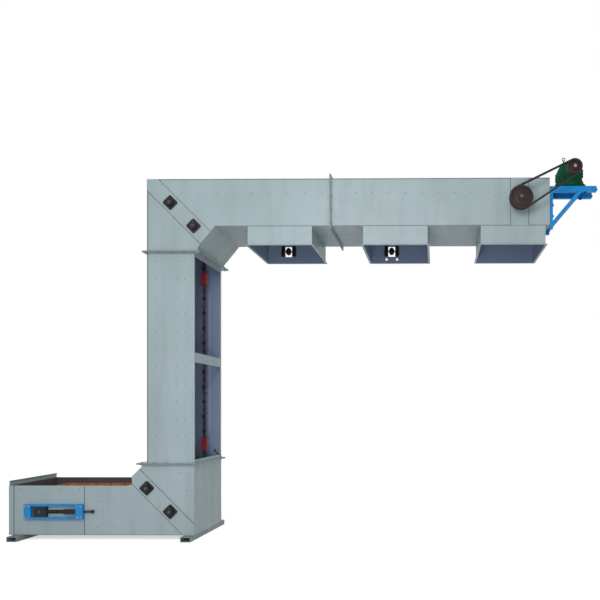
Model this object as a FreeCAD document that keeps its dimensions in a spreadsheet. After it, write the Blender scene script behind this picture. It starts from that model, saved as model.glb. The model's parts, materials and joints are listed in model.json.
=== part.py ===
import FreeCAD, Part
import Sketcher
import math
import os
import re

# Bucket elevator in millimetres. The origin is under the middle of the corner foot, +Z is up,
# +X runs along the upper leg and +Y points from the side with the belt drive to the far side.
# A casing of painted sheet goes along the floor, up a leg and along an upper leg. Two strands of
# chain run round inside it over toothed sprockets and carry the buckets on the loaded run.

# Driving dimensions
SIZES = [
    ("casing_wide", 760),
    ("section_deep", 475),
    ("lower_deep", 495),
    ("sheet_thick", 4),
    ("tail_reach", 1815),
    ("elevator_high", 3610),
    ("low_flange_high", 765),
    ("high_flange_high", 2880),
    ("joint_reach", 1415),
    ("flange_out", 35),
    ("flange_thick", 8),
    ("foot_wide", 100),
    ("foot_high", 50),
    ("foot_long", 960),
    ("foot_wall", 6),
    ("foot_hole", 18),
    ("foot_hole_inset", 45),
    ("tail_foot_inset", 93),
    ("bulge_out", 150),
    ("bulge_rise", 95),
    ("bulge_chamfer", 95),
    ("neck_out", 34),
    ("neck_chamfer_wide", 169),
    ("neck_chamfer_high", 206),
    ("inlet_cover", 40),
    ("tail_lip_rise", 48),
    ("tail_lip_wide", 15),
    ("tail_fold", 48),
    ("front_post", 12),
    ("back_post", 30),
    ("window_sill", 40),
    ("crossbar_low", 1781),
    ("crossbar_high", 98),
    ("hopper_long", 642),
    ("hopper_1_gap", 188),
    ("hopper_2_gap", 324),
    ("hopper_3_gap", 530),
    ("head_end", 42),
    ("hopper_high", 190),
    ("hopper_lip", 18),
    ("tipper_shift", -90),
    ("tipper_gap", 78),
    ("tipper_block_wide", 40),
    ("tipper_high", 110),
    ("tipper_drop", 6),
    ("tipper_deep", 30),
    ("tipper_cam", 60),
    ("tipper_rod", 12),
    ("sight_hole", 26),
    ("sight_hole_drop", 30),
    ("strip_wide", 160),
    ("head_strip_wide", 180),
    ("chain_pitch", 80),
    ("sprocket_teeth", 9),
    ("sprocket_thick", 8),
    ("hub_radius", 34),
    ("hub_long", 44),
    ("chain_spread", 380),
    ("chain_high", 34),
    ("chain_waist", 25),
    ("link_plate", 3),
    ("chain_play", 0.3),
    ("bush_radius", 8),
    ("tooth_rise", 8),
    ("roller_radius", 19),
    ("roller_out", 5),
    ("shaft_radius", 15),
    ("shaft_hole_play", 5),
    ("shaft_end", 6),
    ("tail_shaft_inset", 330),
    ("head_shaft_inset", 300),
    ("bearing_side", 108),
    ("bearing_flange", 14),
    ("bearing_boss", 40),
    ("bearing_stand", 32),
    ("bucket_long", 150),
    ("bucket_foot", 96),
    ("bucket_deep", 112),
    ("bucket_wide", 344),
    ("bucket_wall", 4),
    ("bucket_rise", 84),
    ("bucket_pin", 7),
    ("rail_low", 866),
    ("rail_top", 2795),
    ("rail_thick", 5),
    ("rail_gap", 4),
    ("shoe_high", 130),
    ("shoe_wide", 54),
    ("shoe_deep", 42),
    ("takeup_long", 590),
    ("takeup_high", 148),
    ("takeup_thick", 34),
    ("takeup_rail", 20),
    ("takeup_end", 70),
    ("takeup_shift", 135),
    ("block_long", 130),
    ("block_play", 1),
    ("screw_radius", 10),
    ("screw_out", 80),
    ("knob_radius", 16),
    ("knob_long", 22),
    ("nut_block_long", 120),
    ("nut_block_high", 46),
    ("slot_travel", 120),
    ("drive_gap", 50),
    ("head_pulley_radius", 118),
    ("drive_pulley_radius", 78),
    ("pulley_wide", 66),
    ("pulley_rim", 14),
    ("pulley_hub", 34),
    ("belt_thick", 10),
    ("belt_wide", 50),
    ("drive_shaft_out", 217),
    ("drive_shaft_high", 3669),
    ("reducer_centre", 138),
    ("reducer_radius", 111),
    ("reducer_long", 190),
    ("reducer_base", 300),
    ("reducer_base_thick", 24),
    ("reducer_neck", 60),
    ("reducer_start", -350),
    ("motor_radius", 84),
    ("motor_long", 260),
    ("bracket_reach", 467),
    ("bracket_beam", 50),
    ("bracket_wall", 36),
    ("bracket_drop", 420),
    ("bracket_post", 34),
    ("bracket_gap", 190),
    ("bracket_front", -366),
    ("bracket_plate", 6),
    ("brace_reach", 320),
]

# Places worked out from the sizes
PLACES = [
    ("half_wide", "casing_wide / 2"),
    ("inner_half", "half_wide - sheet_thick"),
    ("leg_right", "foot_wide / 2"),
    ("leg_left", "leg_right - section_deep"),
    ("tail_x", "-tail_reach"),
    ("hopper_1_start", "joint_reach - hopper_1_gap - hopper_long"),
    ("hopper_2_start", "joint_reach + hopper_2_gap"),
    ("hopper_3_start", "hopper_2_start + hopper_long + hopper_3_gap"),
    ("head_x", "hopper_3_start + hopper_long + head_end"),
    ("lower_bottom", "foot_high"),
    ("lower_top", "lower_bottom + lower_deep"),
    ("upper_top", "elevator_high"),
    ("upper_bottom", "upper_top - section_deep"),
    ("bulge_left", "leg_left - bulge_out"),
    ("bulge_shoulder", "bulge_left + bulge_chamfer"),
    ("bulge_low", "lower_top + bulge_rise"),
    ("bulge_high", "bulge_low + bulge_chamfer"),
    ("neck_right", "leg_right + neck_out"),
    ("neck_end", "neck_right + neck_chamfer_wide"),
    ("neck_low", "upper_bottom - neck_chamfer_high"),
    ("pitch_radius", "chain_pitch / (2 * sin(180 / sprocket_teeth * 1deg))"),
    ("half_section", "section_deep / 2"),
    ("chain_half", "sprocket_thick / 2 + chain_play + link_plate"),
    ("boot_outer_x", "leg_right - half_section"),
    ("boot_outer_z", "lower_bottom + half_section"),
    ("boot_inner_x", "boot_outer_x - 2 * pitch_radius"),
    ("boot_inner_z", "boot_outer_z + 2 * pitch_radius"),
    ("top_outer_x", "leg_left + half_section"),
    ("top_outer_z", "upper_top - half_section"),
    ("top_inner_x", "top_outer_x + 2 * pitch_radius"),
    ("top_inner_z", "top_outer_z - 2 * pitch_radius"),
    ("tail_shaft_x", "tail_x + tail_shaft_inset"),
    ("head_shaft_x", "head_x - head_shaft_inset"),
    ("return_x", "boot_outer_x + pitch_radius"),
    ("shaft_hole", "shaft_radius + shaft_hole_play"),
    ("strip_half", "strip_wide / 2 * sqrt(2)"),
    ("takeup_left", "tail_shaft_x + takeup_shift - takeup_long / 2"),
    ("takeup_right", "takeup_left + takeup_long"),
    ("takeup_half", "takeup_high / 2"),
    ("drive_x", "head_x + drive_shaft_out"),
    ("reducer_foot", "drive_shaft_high - reducer_centre"),
    ("beam_low", "reducer_foot - bracket_plate - bracket_beam"),
    ("pulley_front", "-half_wide - sheet_thick - bearing_stand - drive_gap - pulley_wide / 2"),
]

SIZE_NAMES = {name for name, _ in SIZES}
PLACE_NAMES = {name for name, _ in PLACES}

doc = FreeCAD.newDocument("bucket_elevator")
sheet = doc.addObject("Spreadsheet::Sheet", "dims")
for row, (name, number) in enumerate(SIZES, start=1):
    sheet.set("A%d" % row, name)
    sheet.set("B%d" % row, str(number))
    sheet.setAlias("B%d" % row, name)
doc.recompute()


def bound(text):
    """The expression with each size and place named where the document keeps it."""
    def owner(match):
        word = match.group(0)
        if word in SIZE_NAMES:
            return "dims." + word
        if word in PLACE_NAMES:
            return "places." + word
        return word
    return re.sub(r"[a-z_][a-z_0-9]*", owner, str(text))


places = doc.addObject("App::VarSet", "places")
for name, text in PLACES:
    places.addProperty("App::PropertyFloat", name, "Places")
    places.setExpression(name, bound(text))
doc.recompute()

parts = []


def size(name):
    """One size or place as a number, in millimetres."""
    if name in SIZE_NAMES:
        return float(sheet.get(name))
    return float(getattr(places, name))


def keep(label, item):
    item.Label = label
    parts.append(item)
    return item


def place(item, x="0", y="0", z="0"):
    for axis, text in (("x", x), ("y", y), ("z", z)):
        item.setExpression(".Placement.Base." + axis, bound(text))


def draw_polygon(sketch, corners):
    """A closed outline whose corners are bound to the sheet."""
    first = sketch.GeometryCount
    count = len(corners)
    for i in range(count):
        turn = 2 * math.pi / count
        start = FreeCAD.Vector(math.cos(turn * i), math.sin(turn * i), 0) * 100
        end = FreeCAD.Vector(math.cos(turn * (i + 1)), math.sin(turn * (i + 1)), 0) * 100
        sketch.addGeometry(Part.LineSegment(start, end))
    for i in range(count):
        following = first + (i + 1) % count
        sketch.addConstraint(Sketcher.Constraint("Coincident", first + i, 2, following, 1))
    for i, corner in enumerate(corners):
        for kind, text in zip(("DistanceX", "DistanceY"), corner):
            index = sketch.addConstraint(Sketcher.Constraint(kind, -1, 1, first + i, 1, 10.0))
            sketch.setExpression("Constraints[%d]" % index, bound(text))


def draw_circle(sketch, across, up, radius):
    """A round hole whose centre and radius are bound to the sheet."""
    axis = FreeCAD.Vector(0, 0, 1)
    item = sketch.addGeometry(Part.Circle(FreeCAD.Vector(1, 1, 0), axis, 5))
    for kind, text in (("DistanceX", across), ("DistanceY", up)):
        index = sketch.addConstraint(Sketcher.Constraint(kind, -1, 1, item, 3, 1.0))
        sketch.setExpression("Constraints[%d]" % index, bound(text))
    index = sketch.addConstraint(Sketcher.Constraint("Radius", item, 5.0))
    sketch.setExpression("Constraints[%d]" % index, bound(radius))


def padded(name, corners, long, plane="XZ_Plane", windows=(), holes=(), x="0", y="0", z="0"):
    """A body padded from one outline, with windows and round holes through it."""
    body = doc.addObject("PartDesign::Body", name)
    sketch = body.newObject("Sketcher::SketchObject", name + "_outline")
    flat = [face for face in body.Origin.OriginFeatures if face.Role == plane][0]
    sketch.AttachmentSupport = [(flat, "")]
    sketch.MapMode = "FlatFace"
    draw_polygon(sketch, corners)
    for window in windows:
        draw_polygon(sketch, window)
    for hole in holes:
        draw_circle(sketch, *hole)
    pad = body.newObject("PartDesign::Pad", name + "_pad")
    pad.Profile = sketch
    pad.setExpression("Length", bound(long))
    place(body, x, y, z)
    return body


def box_corners(left, right, low, high):
    return [(left, low), (right, low), (right, high), (left, high)]


def group(label, members):
    """Like pieces that share a node, each a solid of its own."""
    compound = doc.addObject("Part::Compound", label)
    compound.Links = members
    return keep(label, compound)


def solid(name, shape):
    item = doc.addObject("Part::Feature", name)
    item.Shape = shape
    return item


def front_and_back(name, corners, windows=(), holes=()):
    """The front panel and the back panel of one stretch of casing."""
    keep(name + "_front_panel", padded(
        name + "_front_panel", corners, "sheet_thick", windows=windows, holes=holes,
        y="-half_wide + sheet_thick"))
    keep(name + "_back_panel", padded(
        name + "_back_panel", corners, "sheet_thick", windows=windows, holes=holes, y="half_wide"))


def across(name, corners):
    """A plate or folded plate that reaches from the front panel to the back panel."""
    return padded(name, corners, "2 * inner_half", y="inner_half")


# Casing panels
LOWER_OUTLINE = [
    ("tail_x + sheet_thick", "lower_bottom"), ("leg_right", "lower_bottom"),
    ("leg_right", "low_flange_high"), ("bulge_shoulder", "low_flange_high"),
    ("bulge_shoulder", "bulge_high"), ("bulge_left", "bulge_low"),
    ("bulge_left", "lower_top"), ("tail_x + sheet_thick", "lower_top")]
TAIL_SLOT = box_corners(
    "tail_shaft_x - slot_travel / 2", "tail_shaft_x + slot_travel / 2",
    "boot_outer_z - shaft_hole", "boot_outer_z + shaft_hole")
UPPER_OUTLINE = [
    ("leg_left", "high_flange_high"), ("neck_right", "high_flange_high"),
    ("neck_right", "neck_low"), ("neck_end", "upper_bottom"),
    ("joint_reach", "upper_bottom"), ("joint_reach", "upper_top"), ("leg_left", "upper_top")]
BOOT_HOLES = [("boot_outer_x", "boot_outer_z", "shaft_hole"), ("boot_inner_x", "boot_inner_z", "shaft_hole")]
TOP_HOLES = [("top_outer_x", "top_outer_z", "shaft_hole"), ("top_inner_x", "top_inner_z", "shaft_hole")]


def casing_panels():
    front_and_back("lower", LOWER_OUTLINE, windows=[TAIL_SLOT], holes=BOOT_HOLES)
    front_and_back("leg", box_corners("leg_left", "leg_right", "low_flange_high", "high_flange_high"))
    front_and_back("upper", UPPER_OUTLINE, holes=TOP_HOLES)
    front_and_back("head", box_corners("joint_reach", "head_x", "upper_bottom", "upper_top"),
                   holes=[("head_shaft_x", "top_outer_z", "shaft_hole")])


def folded_plates():
    keep("lower_bottom_plate", across("lower_bottom_plate", [
        ("tail_x + sheet_thick", "lower_bottom"), ("leg_right", "lower_bottom"),
        ("leg_right", "low_flange_high"), ("leg_right - sheet_thick", "low_flange_high"),
        ("leg_right - sheet_thick", "lower_bottom + sheet_thick"),
        ("tail_x + sheet_thick", "lower_bottom + sheet_thick")]))
    keep("leg_left_panel", across("leg_left_panel", box_corners(
        "leg_left", "leg_left + sheet_thick", "low_flange_high", "high_flange_high")))
    keep("upper_cover_plate", across("upper_cover_plate", [
        ("leg_left", "high_flange_high"), ("leg_left + sheet_thick", "high_flange_high"),
        ("leg_left + sheet_thick", "upper_top - sheet_thick"), ("joint_reach", "upper_top - sheet_thick"),
        ("joint_reach", "upper_top"), ("leg_left", "upper_top")]))
    keep("head_cover_plate", across("head_cover_plate", [
        ("joint_reach", "upper_top - sheet_thick"), ("head_x - sheet_thick", "upper_top - sheet_thick"),
        ("head_x - sheet_thick", "upper_bottom"), ("head_x", "upper_bottom"),
        ("head_x", "upper_top"), ("joint_reach", "upper_top")]))
    group("head_floor_plates", [
        across("floor_%d" % number, box_corners(left, right, "upper_bottom", "upper_bottom + sheet_thick"))
        for number, (left, right) in enumerate([
            ("joint_reach", "hopper_2_start"), ("hopper_2_start + hopper_long", "hopper_3_start"),
            ("hopper_3_start + hopper_long", "head_x - sheet_thick")], start=1)])


def folded_sheet(route, inward):
    """A sheet folded along a route of points, its thickness to one side of the route."""
    points = [FreeCAD.Vector(x, 0, z) for x, z in route]
    wire = Part.makePolygon(points)
    thick = size("sheet_thick") * inward
    joined = 2
    face = wire.makeOffset2D(thick, join=joined, fill=True, openResult=True)
    face.translate(FreeCAD.Vector(0, -size("inner_half"), 0))
    return face.extrude(FreeCAD.Vector(0, 2 * size("inner_half"), 0))


def throat_plates():
    """The folded plates round the inner corner of each elbow."""
    low_route = [
        (size("bulge_left") - size("inlet_cover"), size("lower_top")),
        (size("bulge_left"), size("lower_top")), (size("bulge_left"), size("bulge_low")),
        (size("bulge_shoulder"), size("bulge_high")), (size("bulge_shoulder"), size("low_flange_high"))]
    keep("lower_throat_plate", solid("lower_throat_plate", folded_sheet(low_route, -1)))
    high_route = [
        (size("neck_right"), size("high_flange_high")), (size("neck_right"), size("neck_low")),
        (size("neck_end"), size("upper_bottom")), (size("hopper_1_start"), size("upper_bottom"))]
    folded = solid("neck_plate", folded_sheet(high_route, 1))
    strip = across("floor_strip", box_corners(
        "hopper_1_start + hopper_long", "joint_reach", "upper_bottom", "upper_bottom + sheet_thick"))
    group("upper_bottom_plate", [folded, strip])


def tail_end_plate():
    """The end plate stands above the side walls with a folded lip, and folds round their ends."""
    plate = across("tail_plate", [
        ("tail_x", "lower_bottom"), ("tail_x + sheet_thick", "lower_bottom"),
        ("tail_x + sheet_thick", "lower_top + tail_lip_rise - sheet_thick"),
        ("tail_x + sheet_thick + tail_lip_wide", "lower_top + tail_lip_rise - sheet_thick"),
        ("tail_x + sheet_thick + tail_lip_wide", "lower_top + tail_lip_rise"),
        ("tail_x", "lower_top + tail_lip_rise")])
    fold_outline = box_corners("tail_x", "tail_x + tail_fold", "lower_bottom", "lower_top")
    front = padded("tail_fold_front", fold_outline, "sheet_thick", y="-half_wide")
    back = padded("tail_fold_back", fold_outline, "sheet_thick", y="half_wide + sheet_thick")
    ends = [padded("tail_edge_" + side, box_corners(
        "tail_x", "tail_x + sheet_thick", "lower_bottom", "lower_top"), "sheet_thick", y=y)
        for side, y in (("front", "-inner_half"), ("back", "half_wide"))]
    fused = doc.addObject("Part::MultiFuse", "tail_end_fused")
    fused.Shapes = [plate, front, back] + ends
    fused.Refine = True
    keep("tail_end_plate", fused)


def leg_window_frame():
    """Posts and crossbars round the two windows in the right-hand side of the leg."""
    low = "low_flange_high"
    high = "high_flange_high"
    front_edge = "-inner_half + front_post"
    back_edge = "inner_half - back_post"
    bars = [
        ("front_post_bar", "-inner_half", front_edge, low, high),
        ("back_post_bar", back_edge, "inner_half", low, high),
        ("sill_bar", front_edge, back_edge, low, low + " + window_sill"),
        ("middle_bar", front_edge, back_edge, "crossbar_low", "crossbar_low + crossbar_high"),
        ("lintel_bar", front_edge, back_edge, high + " - window_sill", high)]
    members = [
        padded(name, box_corners(start, end, bottom, top), "sheet_thick", plane="YZ_Plane",
               x="leg_right - sheet_thick")
        for name, start, end, bottom, top in bars]
    group("leg_window_frame", members)


def ring(label, plane_bars):
    group(label, [padded(name, corners, long, plane=plane, x=x, y=y, z=z)
                  for name, corners, long, plane, x, y, z in plane_bars])


def level_ring(label, level, lower_left, lower_right, upper_left, upper_right):
    """A pair of bolted flange frames round the leg, each of four flat bars."""
    bars = []
    layers = [("under", lower_left, lower_right, level + " - flange_thick"),
              ("over", upper_left, upper_right, level)]
    widest = {"left": "min(%s; %s) - flange_out" % (lower_left, upper_left),
              "right": "max(%s; %s) + flange_out" % (lower_right, upper_right)}
    for layer, left, right, start in layers:
        sides = [
            ("front", widest["left"], widest["right"], "-half_wide - flange_out", "-half_wide"),
            ("back", widest["left"], widest["right"], "half_wide", "half_wide + flange_out"),
            ("left", widest["left"], left, "-half_wide", "half_wide"),
            ("right", right, widest["right"], "-half_wide", "half_wide")]
        for side, x0, x1, y0, y1 in sides:
            bars.append((label + "_" + layer + "_" + side, box_corners(x0, x1, y0, y1),
                         "flange_thick", "XY_Plane", "0", "0", start))
    ring(label, bars)


def flanges():
    level_ring("lower_flange", "low_flange_high", "bulge_shoulder", "leg_right", "leg_left", "leg_right")
    level_ring("upper_flange", "high_flange_high", "leg_left", "leg_right", "leg_left", "neck_right")
    bars = []
    for layer, start in (("near", "joint_reach - flange_thick"), ("far", "joint_reach")):
        sides = [
            ("top", "-half_wide - flange_out", "half_wide + flange_out",
             "upper_top", "upper_top + flange_out"),
            ("bottom", "-half_wide - flange_out", "half_wide + flange_out",
             "upper_bottom - flange_out", "upper_bottom"),
            ("front", "-half_wide - flange_out", "-half_wide", "upper_bottom", "upper_top"),
            ("back", "half_wide", "half_wide + flange_out", "upper_bottom", "upper_top")]
        for side, y0, y1, z0, z1 in sides:
            bars.append(("joint_flange_%s_%s" % (layer, side), box_corners(y0, y1, z0, z1),
                         "flange_thick", "YZ_Plane", start, "0", "0"))
    ring("joint_flange", bars)


def foot(label, middle):
    """A box section under the casing, open at both ends, with a bolt hole near each end."""
    hole_y = "foot_long / 2 - foot_hole_inset"
    section = padded(label + "_section", box_corners("-foot_wide / 2", "foot_wide / 2", "0", "foot_high"),
                     "foot_long", x=middle, y="foot_long / 2", windows=[box_corners(
                         "-foot_wide / 2 + foot_wall", "foot_wide / 2 - foot_wall",
                         "foot_wall", "foot_high - foot_wall")])
    drills = []
    for number, y in enumerate(("-(" + hole_y + ")", hole_y), start=1):
        drill = doc.addObject("Part::Cylinder", "%s_drill_%d" % (label, number))
        drill.setExpression("Radius", bound("foot_hole / 2"))
        drill.setExpression("Height", bound("foot_high + 2 * foot_wall"))
        place(drill, middle, y, "-foot_wall")
        drills.append(drill)
    both = doc.addObject("Part::Compound", label + "_drills")
    both.Links = drills
    cut = doc.addObject("Part::Cut", label + "_cut")
    cut.Base = section
    cut.Tool = both
    keep(label, cut)


# Outlets
def hopper(number):
    """A square chute under the upper leg, with a lip round its mouth."""
    name = "hopper_%d" % number
    start = "hopper_%d_start" % number
    end = start + " + hopper_long"
    wall = "sheet_thick"
    chute = padded(name + "_chute", box_corners(start, end, "-half_wide", "half_wide"), "hopper_high",
                   plane="XY_Plane", windows=[box_corners(
                       start + " + " + wall, end + " - " + wall, "-inner_half", "inner_half")],
                   z="upper_bottom - hopper_high")
    lip = padded(name + "_lip", box_corners(
        start + " - hopper_lip", end + " + hopper_lip", "-half_wide - hopper_lip", "half_wide + hopper_lip"),
        wall, plane="XY_Plane", windows=[box_corners(start, end, "-half_wide", "half_wide")],
        z="upper_bottom - hopper_high")
    fused = doc.addObject("Part::MultiFuse", name + "_fused")
    fused.Shapes = [chute, lip]
    fused.Refine = True
    if number == 3:
        return keep(name, fused)
    middle = tipper_middle(number)
    opening = box_corners(middle + " - tipper_gap / 2", middle + " + tipper_gap / 2",
                          "upper_bottom - tipper_drop - tipper_high", "upper_bottom - tipper_drop")
    window = padded(name + "_window", opening, "3 * sheet_thick", y="half_wide + sheet_thick")
    tools = [window]
    if number == 2:
        for side, sign in (("left", " - "), ("right", " + ")):
            hole = doc.addObject("Part::Cylinder", name + "_sight_" + side)
            hole.setExpression("Radius", bound("sight_hole / 2"))
            hole.setExpression("Height", bound("3 * sheet_thick"))
            hole.Placement = FreeCAD.Placement(
                FreeCAD.Vector(), FreeCAD.Rotation(FreeCAD.Vector(1, 0, 0), 90))
            place(hole, middle + sign + "(tipper_gap + tipper_block_wide) / 2", "half_wide + sheet_thick",
                  "upper_bottom - tipper_drop - tipper_high - sight_hole_drop")
            tools.append(hole)
    cutters = doc.addObject("Part::Compound", name + "_cutters")
    cutters.Links = tools
    cut = doc.addObject("Part::Cut", name + "_cut")
    cut.Base = fused
    cut.Tool = cutters
    return keep(name, cut)


def tipper_middle(number):
    return "hopper_%d_start + hopper_long / 2 + tipper_shift" % number


def tipper_station(number):
    """Two blocks on the far wall of a hopper, with a rod between them that carries a square cam."""
    middle = tipper_middle(number)
    low = "upper_bottom - tipper_drop - tipper_high"
    high = "upper_bottom - tipper_drop"
    blocks = []
    for side, left, right in (
            ("left", middle + " - tipper_gap / 2 - tipper_block_wide", middle + " - tipper_gap / 2"),
            ("right", middle + " + tipper_gap / 2", middle + " + tipper_gap / 2 + tipper_block_wide")):
        blocks.append(padded("tipper_%d_%s" % (number, side), box_corners(left, right, low, high),
                             "tipper_deep", y="inner_half"))
    rod = doc.addObject("Part::Cylinder", "tipper_%d_rod" % number)
    rod.setExpression("Radius", bound("tipper_rod / 2"))
    rod.setExpression("Height", bound("tipper_gap + tipper_block_wide"))
    rod.Placement = FreeCAD.Placement(FreeCAD.Vector(), FreeCAD.Rotation(FreeCAD.Vector(0, 1, 0), 90))
    place(rod, middle + " - (tipper_gap + tipper_block_wide) / 2", "inner_half - tipper_deep / 2",
          high + " - tipper_high / 2")
    cam = doc.addObject("Part::Box", "tipper_%d_cam" % number)
    for side in ("Length", "Height"):
        cam.setExpression(side, bound("tipper_cam / sqrt(2)"))
    cam.setExpression("Width", bound("tipper_deep / 2"))
    cam.Placement = FreeCAD.Placement(FreeCAD.Vector(), FreeCAD.Rotation(FreeCAD.Vector(0, 1, 0), 45))
    place(cam, middle + " - tipper_cam / 2", "inner_half - tipper_deep * 3 / 4",
          high + " - tipper_high / 2")
    fused = doc.addObject("Part::MultiFuse", "tipper_%d" % number)
    fused.Shapes = blocks + [rod, cam]
    return fused


# Bearing plates
def strip_corners(lower):
    """The outline of an elbow strip, which runs on a slant from the inner corner to the outer one."""
    if lower:
        total = "(boot_outer_x + boot_outer_z)"
        near = "(%s - strip_half)" % total
        far = "(%s + strip_half)" % total
        slope = "(bulge_low - bulge_left)"
        return [("bulge_left", near + " - bulge_left"), ("bulge_left", "bulge_low"),
                ("(%s - %s) / 2" % (far, slope), "(%s + %s) / 2" % (far, slope)),
                ("leg_right", far + " - leg_right"), ("leg_right", "lower_bottom"),
                (near + " - lower_bottom", "lower_bottom")]
    total = "(top_outer_x + top_outer_z)"
    near = "(%s - strip_half)" % total
    far = "(%s + strip_half)" % total
    share = "(neck_end + upper_bottom - %s) / (neck_chamfer_wide + neck_chamfer_high)"
    near_share = share % near
    far_share = share % far
    return [("leg_left", near + " - leg_left"),
            ("neck_end - neck_chamfer_wide * " + near_share, "upper_bottom - neck_chamfer_high * " + near_share),
            ("neck_end - neck_chamfer_wide * " + far_share, "upper_bottom - neck_chamfer_high * " + far_share),
            (far + " - upper_top", "upper_top"), ("leg_left", "upper_top")]


def bearing_plates():
    members = []
    for name, lower, holes in (("boot", True, BOOT_HOLES), ("top", False, TOP_HOLES)):
        for side, y in (("front", "-half_wide"), ("back", "half_wide + sheet_thick")):
            members.append(padded(name + "_strip_" + side, strip_corners(lower), "sheet_thick",
                                  holes=holes, y=y))
    group("elbow_strips", members)
    outline = box_corners("head_shaft_x - head_strip_wide / 2", "head_shaft_x + head_strip_wide / 2",
                          "upper_bottom", "upper_top")
    group("head_strips", [
        padded("head_strip_" + side, outline, "sheet_thick",
               holes=[("head_shaft_x", "top_outer_z", "shaft_hole")], y=y)
        for side, y in (("front", "-half_wide"), ("back", "half_wide + sheet_thick"))])


# Bearings and shafts
def lathe(outline):
    """A solid turned about the Y axis from points given as radius and length."""
    points = [FreeCAD.Vector(radius, along, 0) for radius, along in outline]
    face = Part.Face(Part.makePolygon(points + points[:1]))
    return face.revolve(FreeCAD.Vector(0, 0, 0), FreeCAD.Vector(0, 1, 0), 360)


def bearing_shape(turned):
    """A flange bearing that faces -Y, with its flange's back at Y = 0 and its bore along Y."""
    side = size("bearing_side")
    flange = size("bearing_flange")
    stand = size("bearing_stand")
    boss = size("bearing_boss")
    flat = Part.makeBox(side, flange, side, FreeCAD.Vector(-side / 2, -flange, -side / 2))
    corners = [edge for edge in flat.Edges if abs(edge.tangentAt(0).y) > 0.9]
    flat = flat.makeFillet(side / 8, corners)
    if turned:
        flat.rotate(FreeCAD.Vector(), FreeCAD.Vector(0, 1, 0), 45)
    seat = lathe([(size("shaft_radius"), -flange / 2), (boss, -flange / 2),
                  (boss * 0.9, -stand), (size("shaft_radius"), -stand)])
    bore = Part.makeCylinder(size("shaft_radius"), 2 * stand, FreeCAD.Vector(0, -stand * 1.5, 0),
                             FreeCAD.Vector(0, 1, 0))
    return flat.fuse(seat).cut(bore)


def bearing_pair(name, x, z, turned):
    """A bearing on the front of the casing and one on the back, turned to face away from it."""
    outer = size("half_wide") + size("sheet_thick")
    front = bearing_shape(turned)
    back = bearing_shape(turned)
    back.rotate(FreeCAD.Vector(), FreeCAD.Vector(0, 0, 1), 180)
    front.translate(FreeCAD.Vector(x, -outer, z))
    back.translate(FreeCAD.Vector(x, outer, z))
    return [solid(name + "_front", front), solid(name + "_back", back)]


ELBOW_SHAFTS = [("boot_outer", "boot_outer_x", "boot_outer_z"), ("boot_inner", "boot_inner_x", "boot_inner_z"),
                ("top_outer", "top_outer_x", "top_outer_z"), ("top_inner", "top_inner_x", "top_inner_z")]


def bearings():
    members = []
    for name, x, z in ELBOW_SHAFTS:
        members += bearing_pair(name + "_bearing", size(x), size(z), True)
    group("elbow_bearings", members)
    group("head_bearings", bearing_pair("head_bearing", size("head_shaft_x"), size("top_outer_z"), False))


def sprocket_shape(phase):
    """A toothed plate about the Y axis. Its teeth stand halfway between the pins of the chain on it."""
    teeth = round(size("sprocket_teeth"))
    root = size("pitch_radius") - size("bush_radius") - size("chain_play")
    tip = size("pitch_radius") + size("tooth_rise")
    step = 2 * math.pi / teeth
    points = []
    for tooth in range(teeth):
        middle = math.radians(phase) + step * (tooth + 0.5)
        for offset, radius in ((-0.3, root), (-0.13, tip), (0.13, tip), (0.3, root)):
            angle = middle + offset * step
            points.append(FreeCAD.Vector(radius * math.cos(angle), 0, radius * math.sin(angle)))
    plate = Part.Face(Part.makePolygon(points + points[:1]))
    plate.translate(FreeCAD.Vector(0, -size("sprocket_thick") / 2, 0))
    return plate.extrude(FreeCAD.Vector(0, size("sprocket_thick"), 0))


def shaft(label, x, z, front_end, back_end):
    """A shaft across the casing with a hub and a sprocket under each strand of chain."""
    phase = pin_angle((x, z))
    body = Part.makeCylinder(size("shaft_radius"), back_end - front_end,
                             FreeCAD.Vector(0, front_end, 0), FreeCAD.Vector(0, 1, 0))
    for side in (-1, 1):
        strand = side * size("chain_spread") / 2
        wheel = sprocket_shape(phase)
        wheel.translate(FreeCAD.Vector(0, strand, 0))
        hub = Part.makeCylinder(size("hub_radius"), size("hub_long"),
                                FreeCAD.Vector(0, strand - size("hub_long") / 2, 0), FreeCAD.Vector(0, 1, 0))
        body = body.fuse([wheel, hub])
    body = body.removeSplitter()
    body.translate(FreeCAD.Vector(x, 0, z))
    keep(label, solid(label, body))


def shafts():
    end = size("half_wide") + size("sheet_thick") + size("bearing_stand") + size("shaft_end")
    for name, x, z in ELBOW_SHAFTS:
        shaft(name + "_shaft", size(x), size(z), -end, end)
    block_end = size("half_wide") + size("takeup_thick") + size("shaft_end")
    shaft("tail_shaft", size("tail_shaft_x"), size("boot_outer_z"), -block_end, block_end)
    pulley_end = size("pulley_front") - size("pulley_wide") / 2 - size("shaft_end")
    shaft("head_shaft", size("head_shaft_x"), size("top_outer_z"), pulley_end, end)


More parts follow.
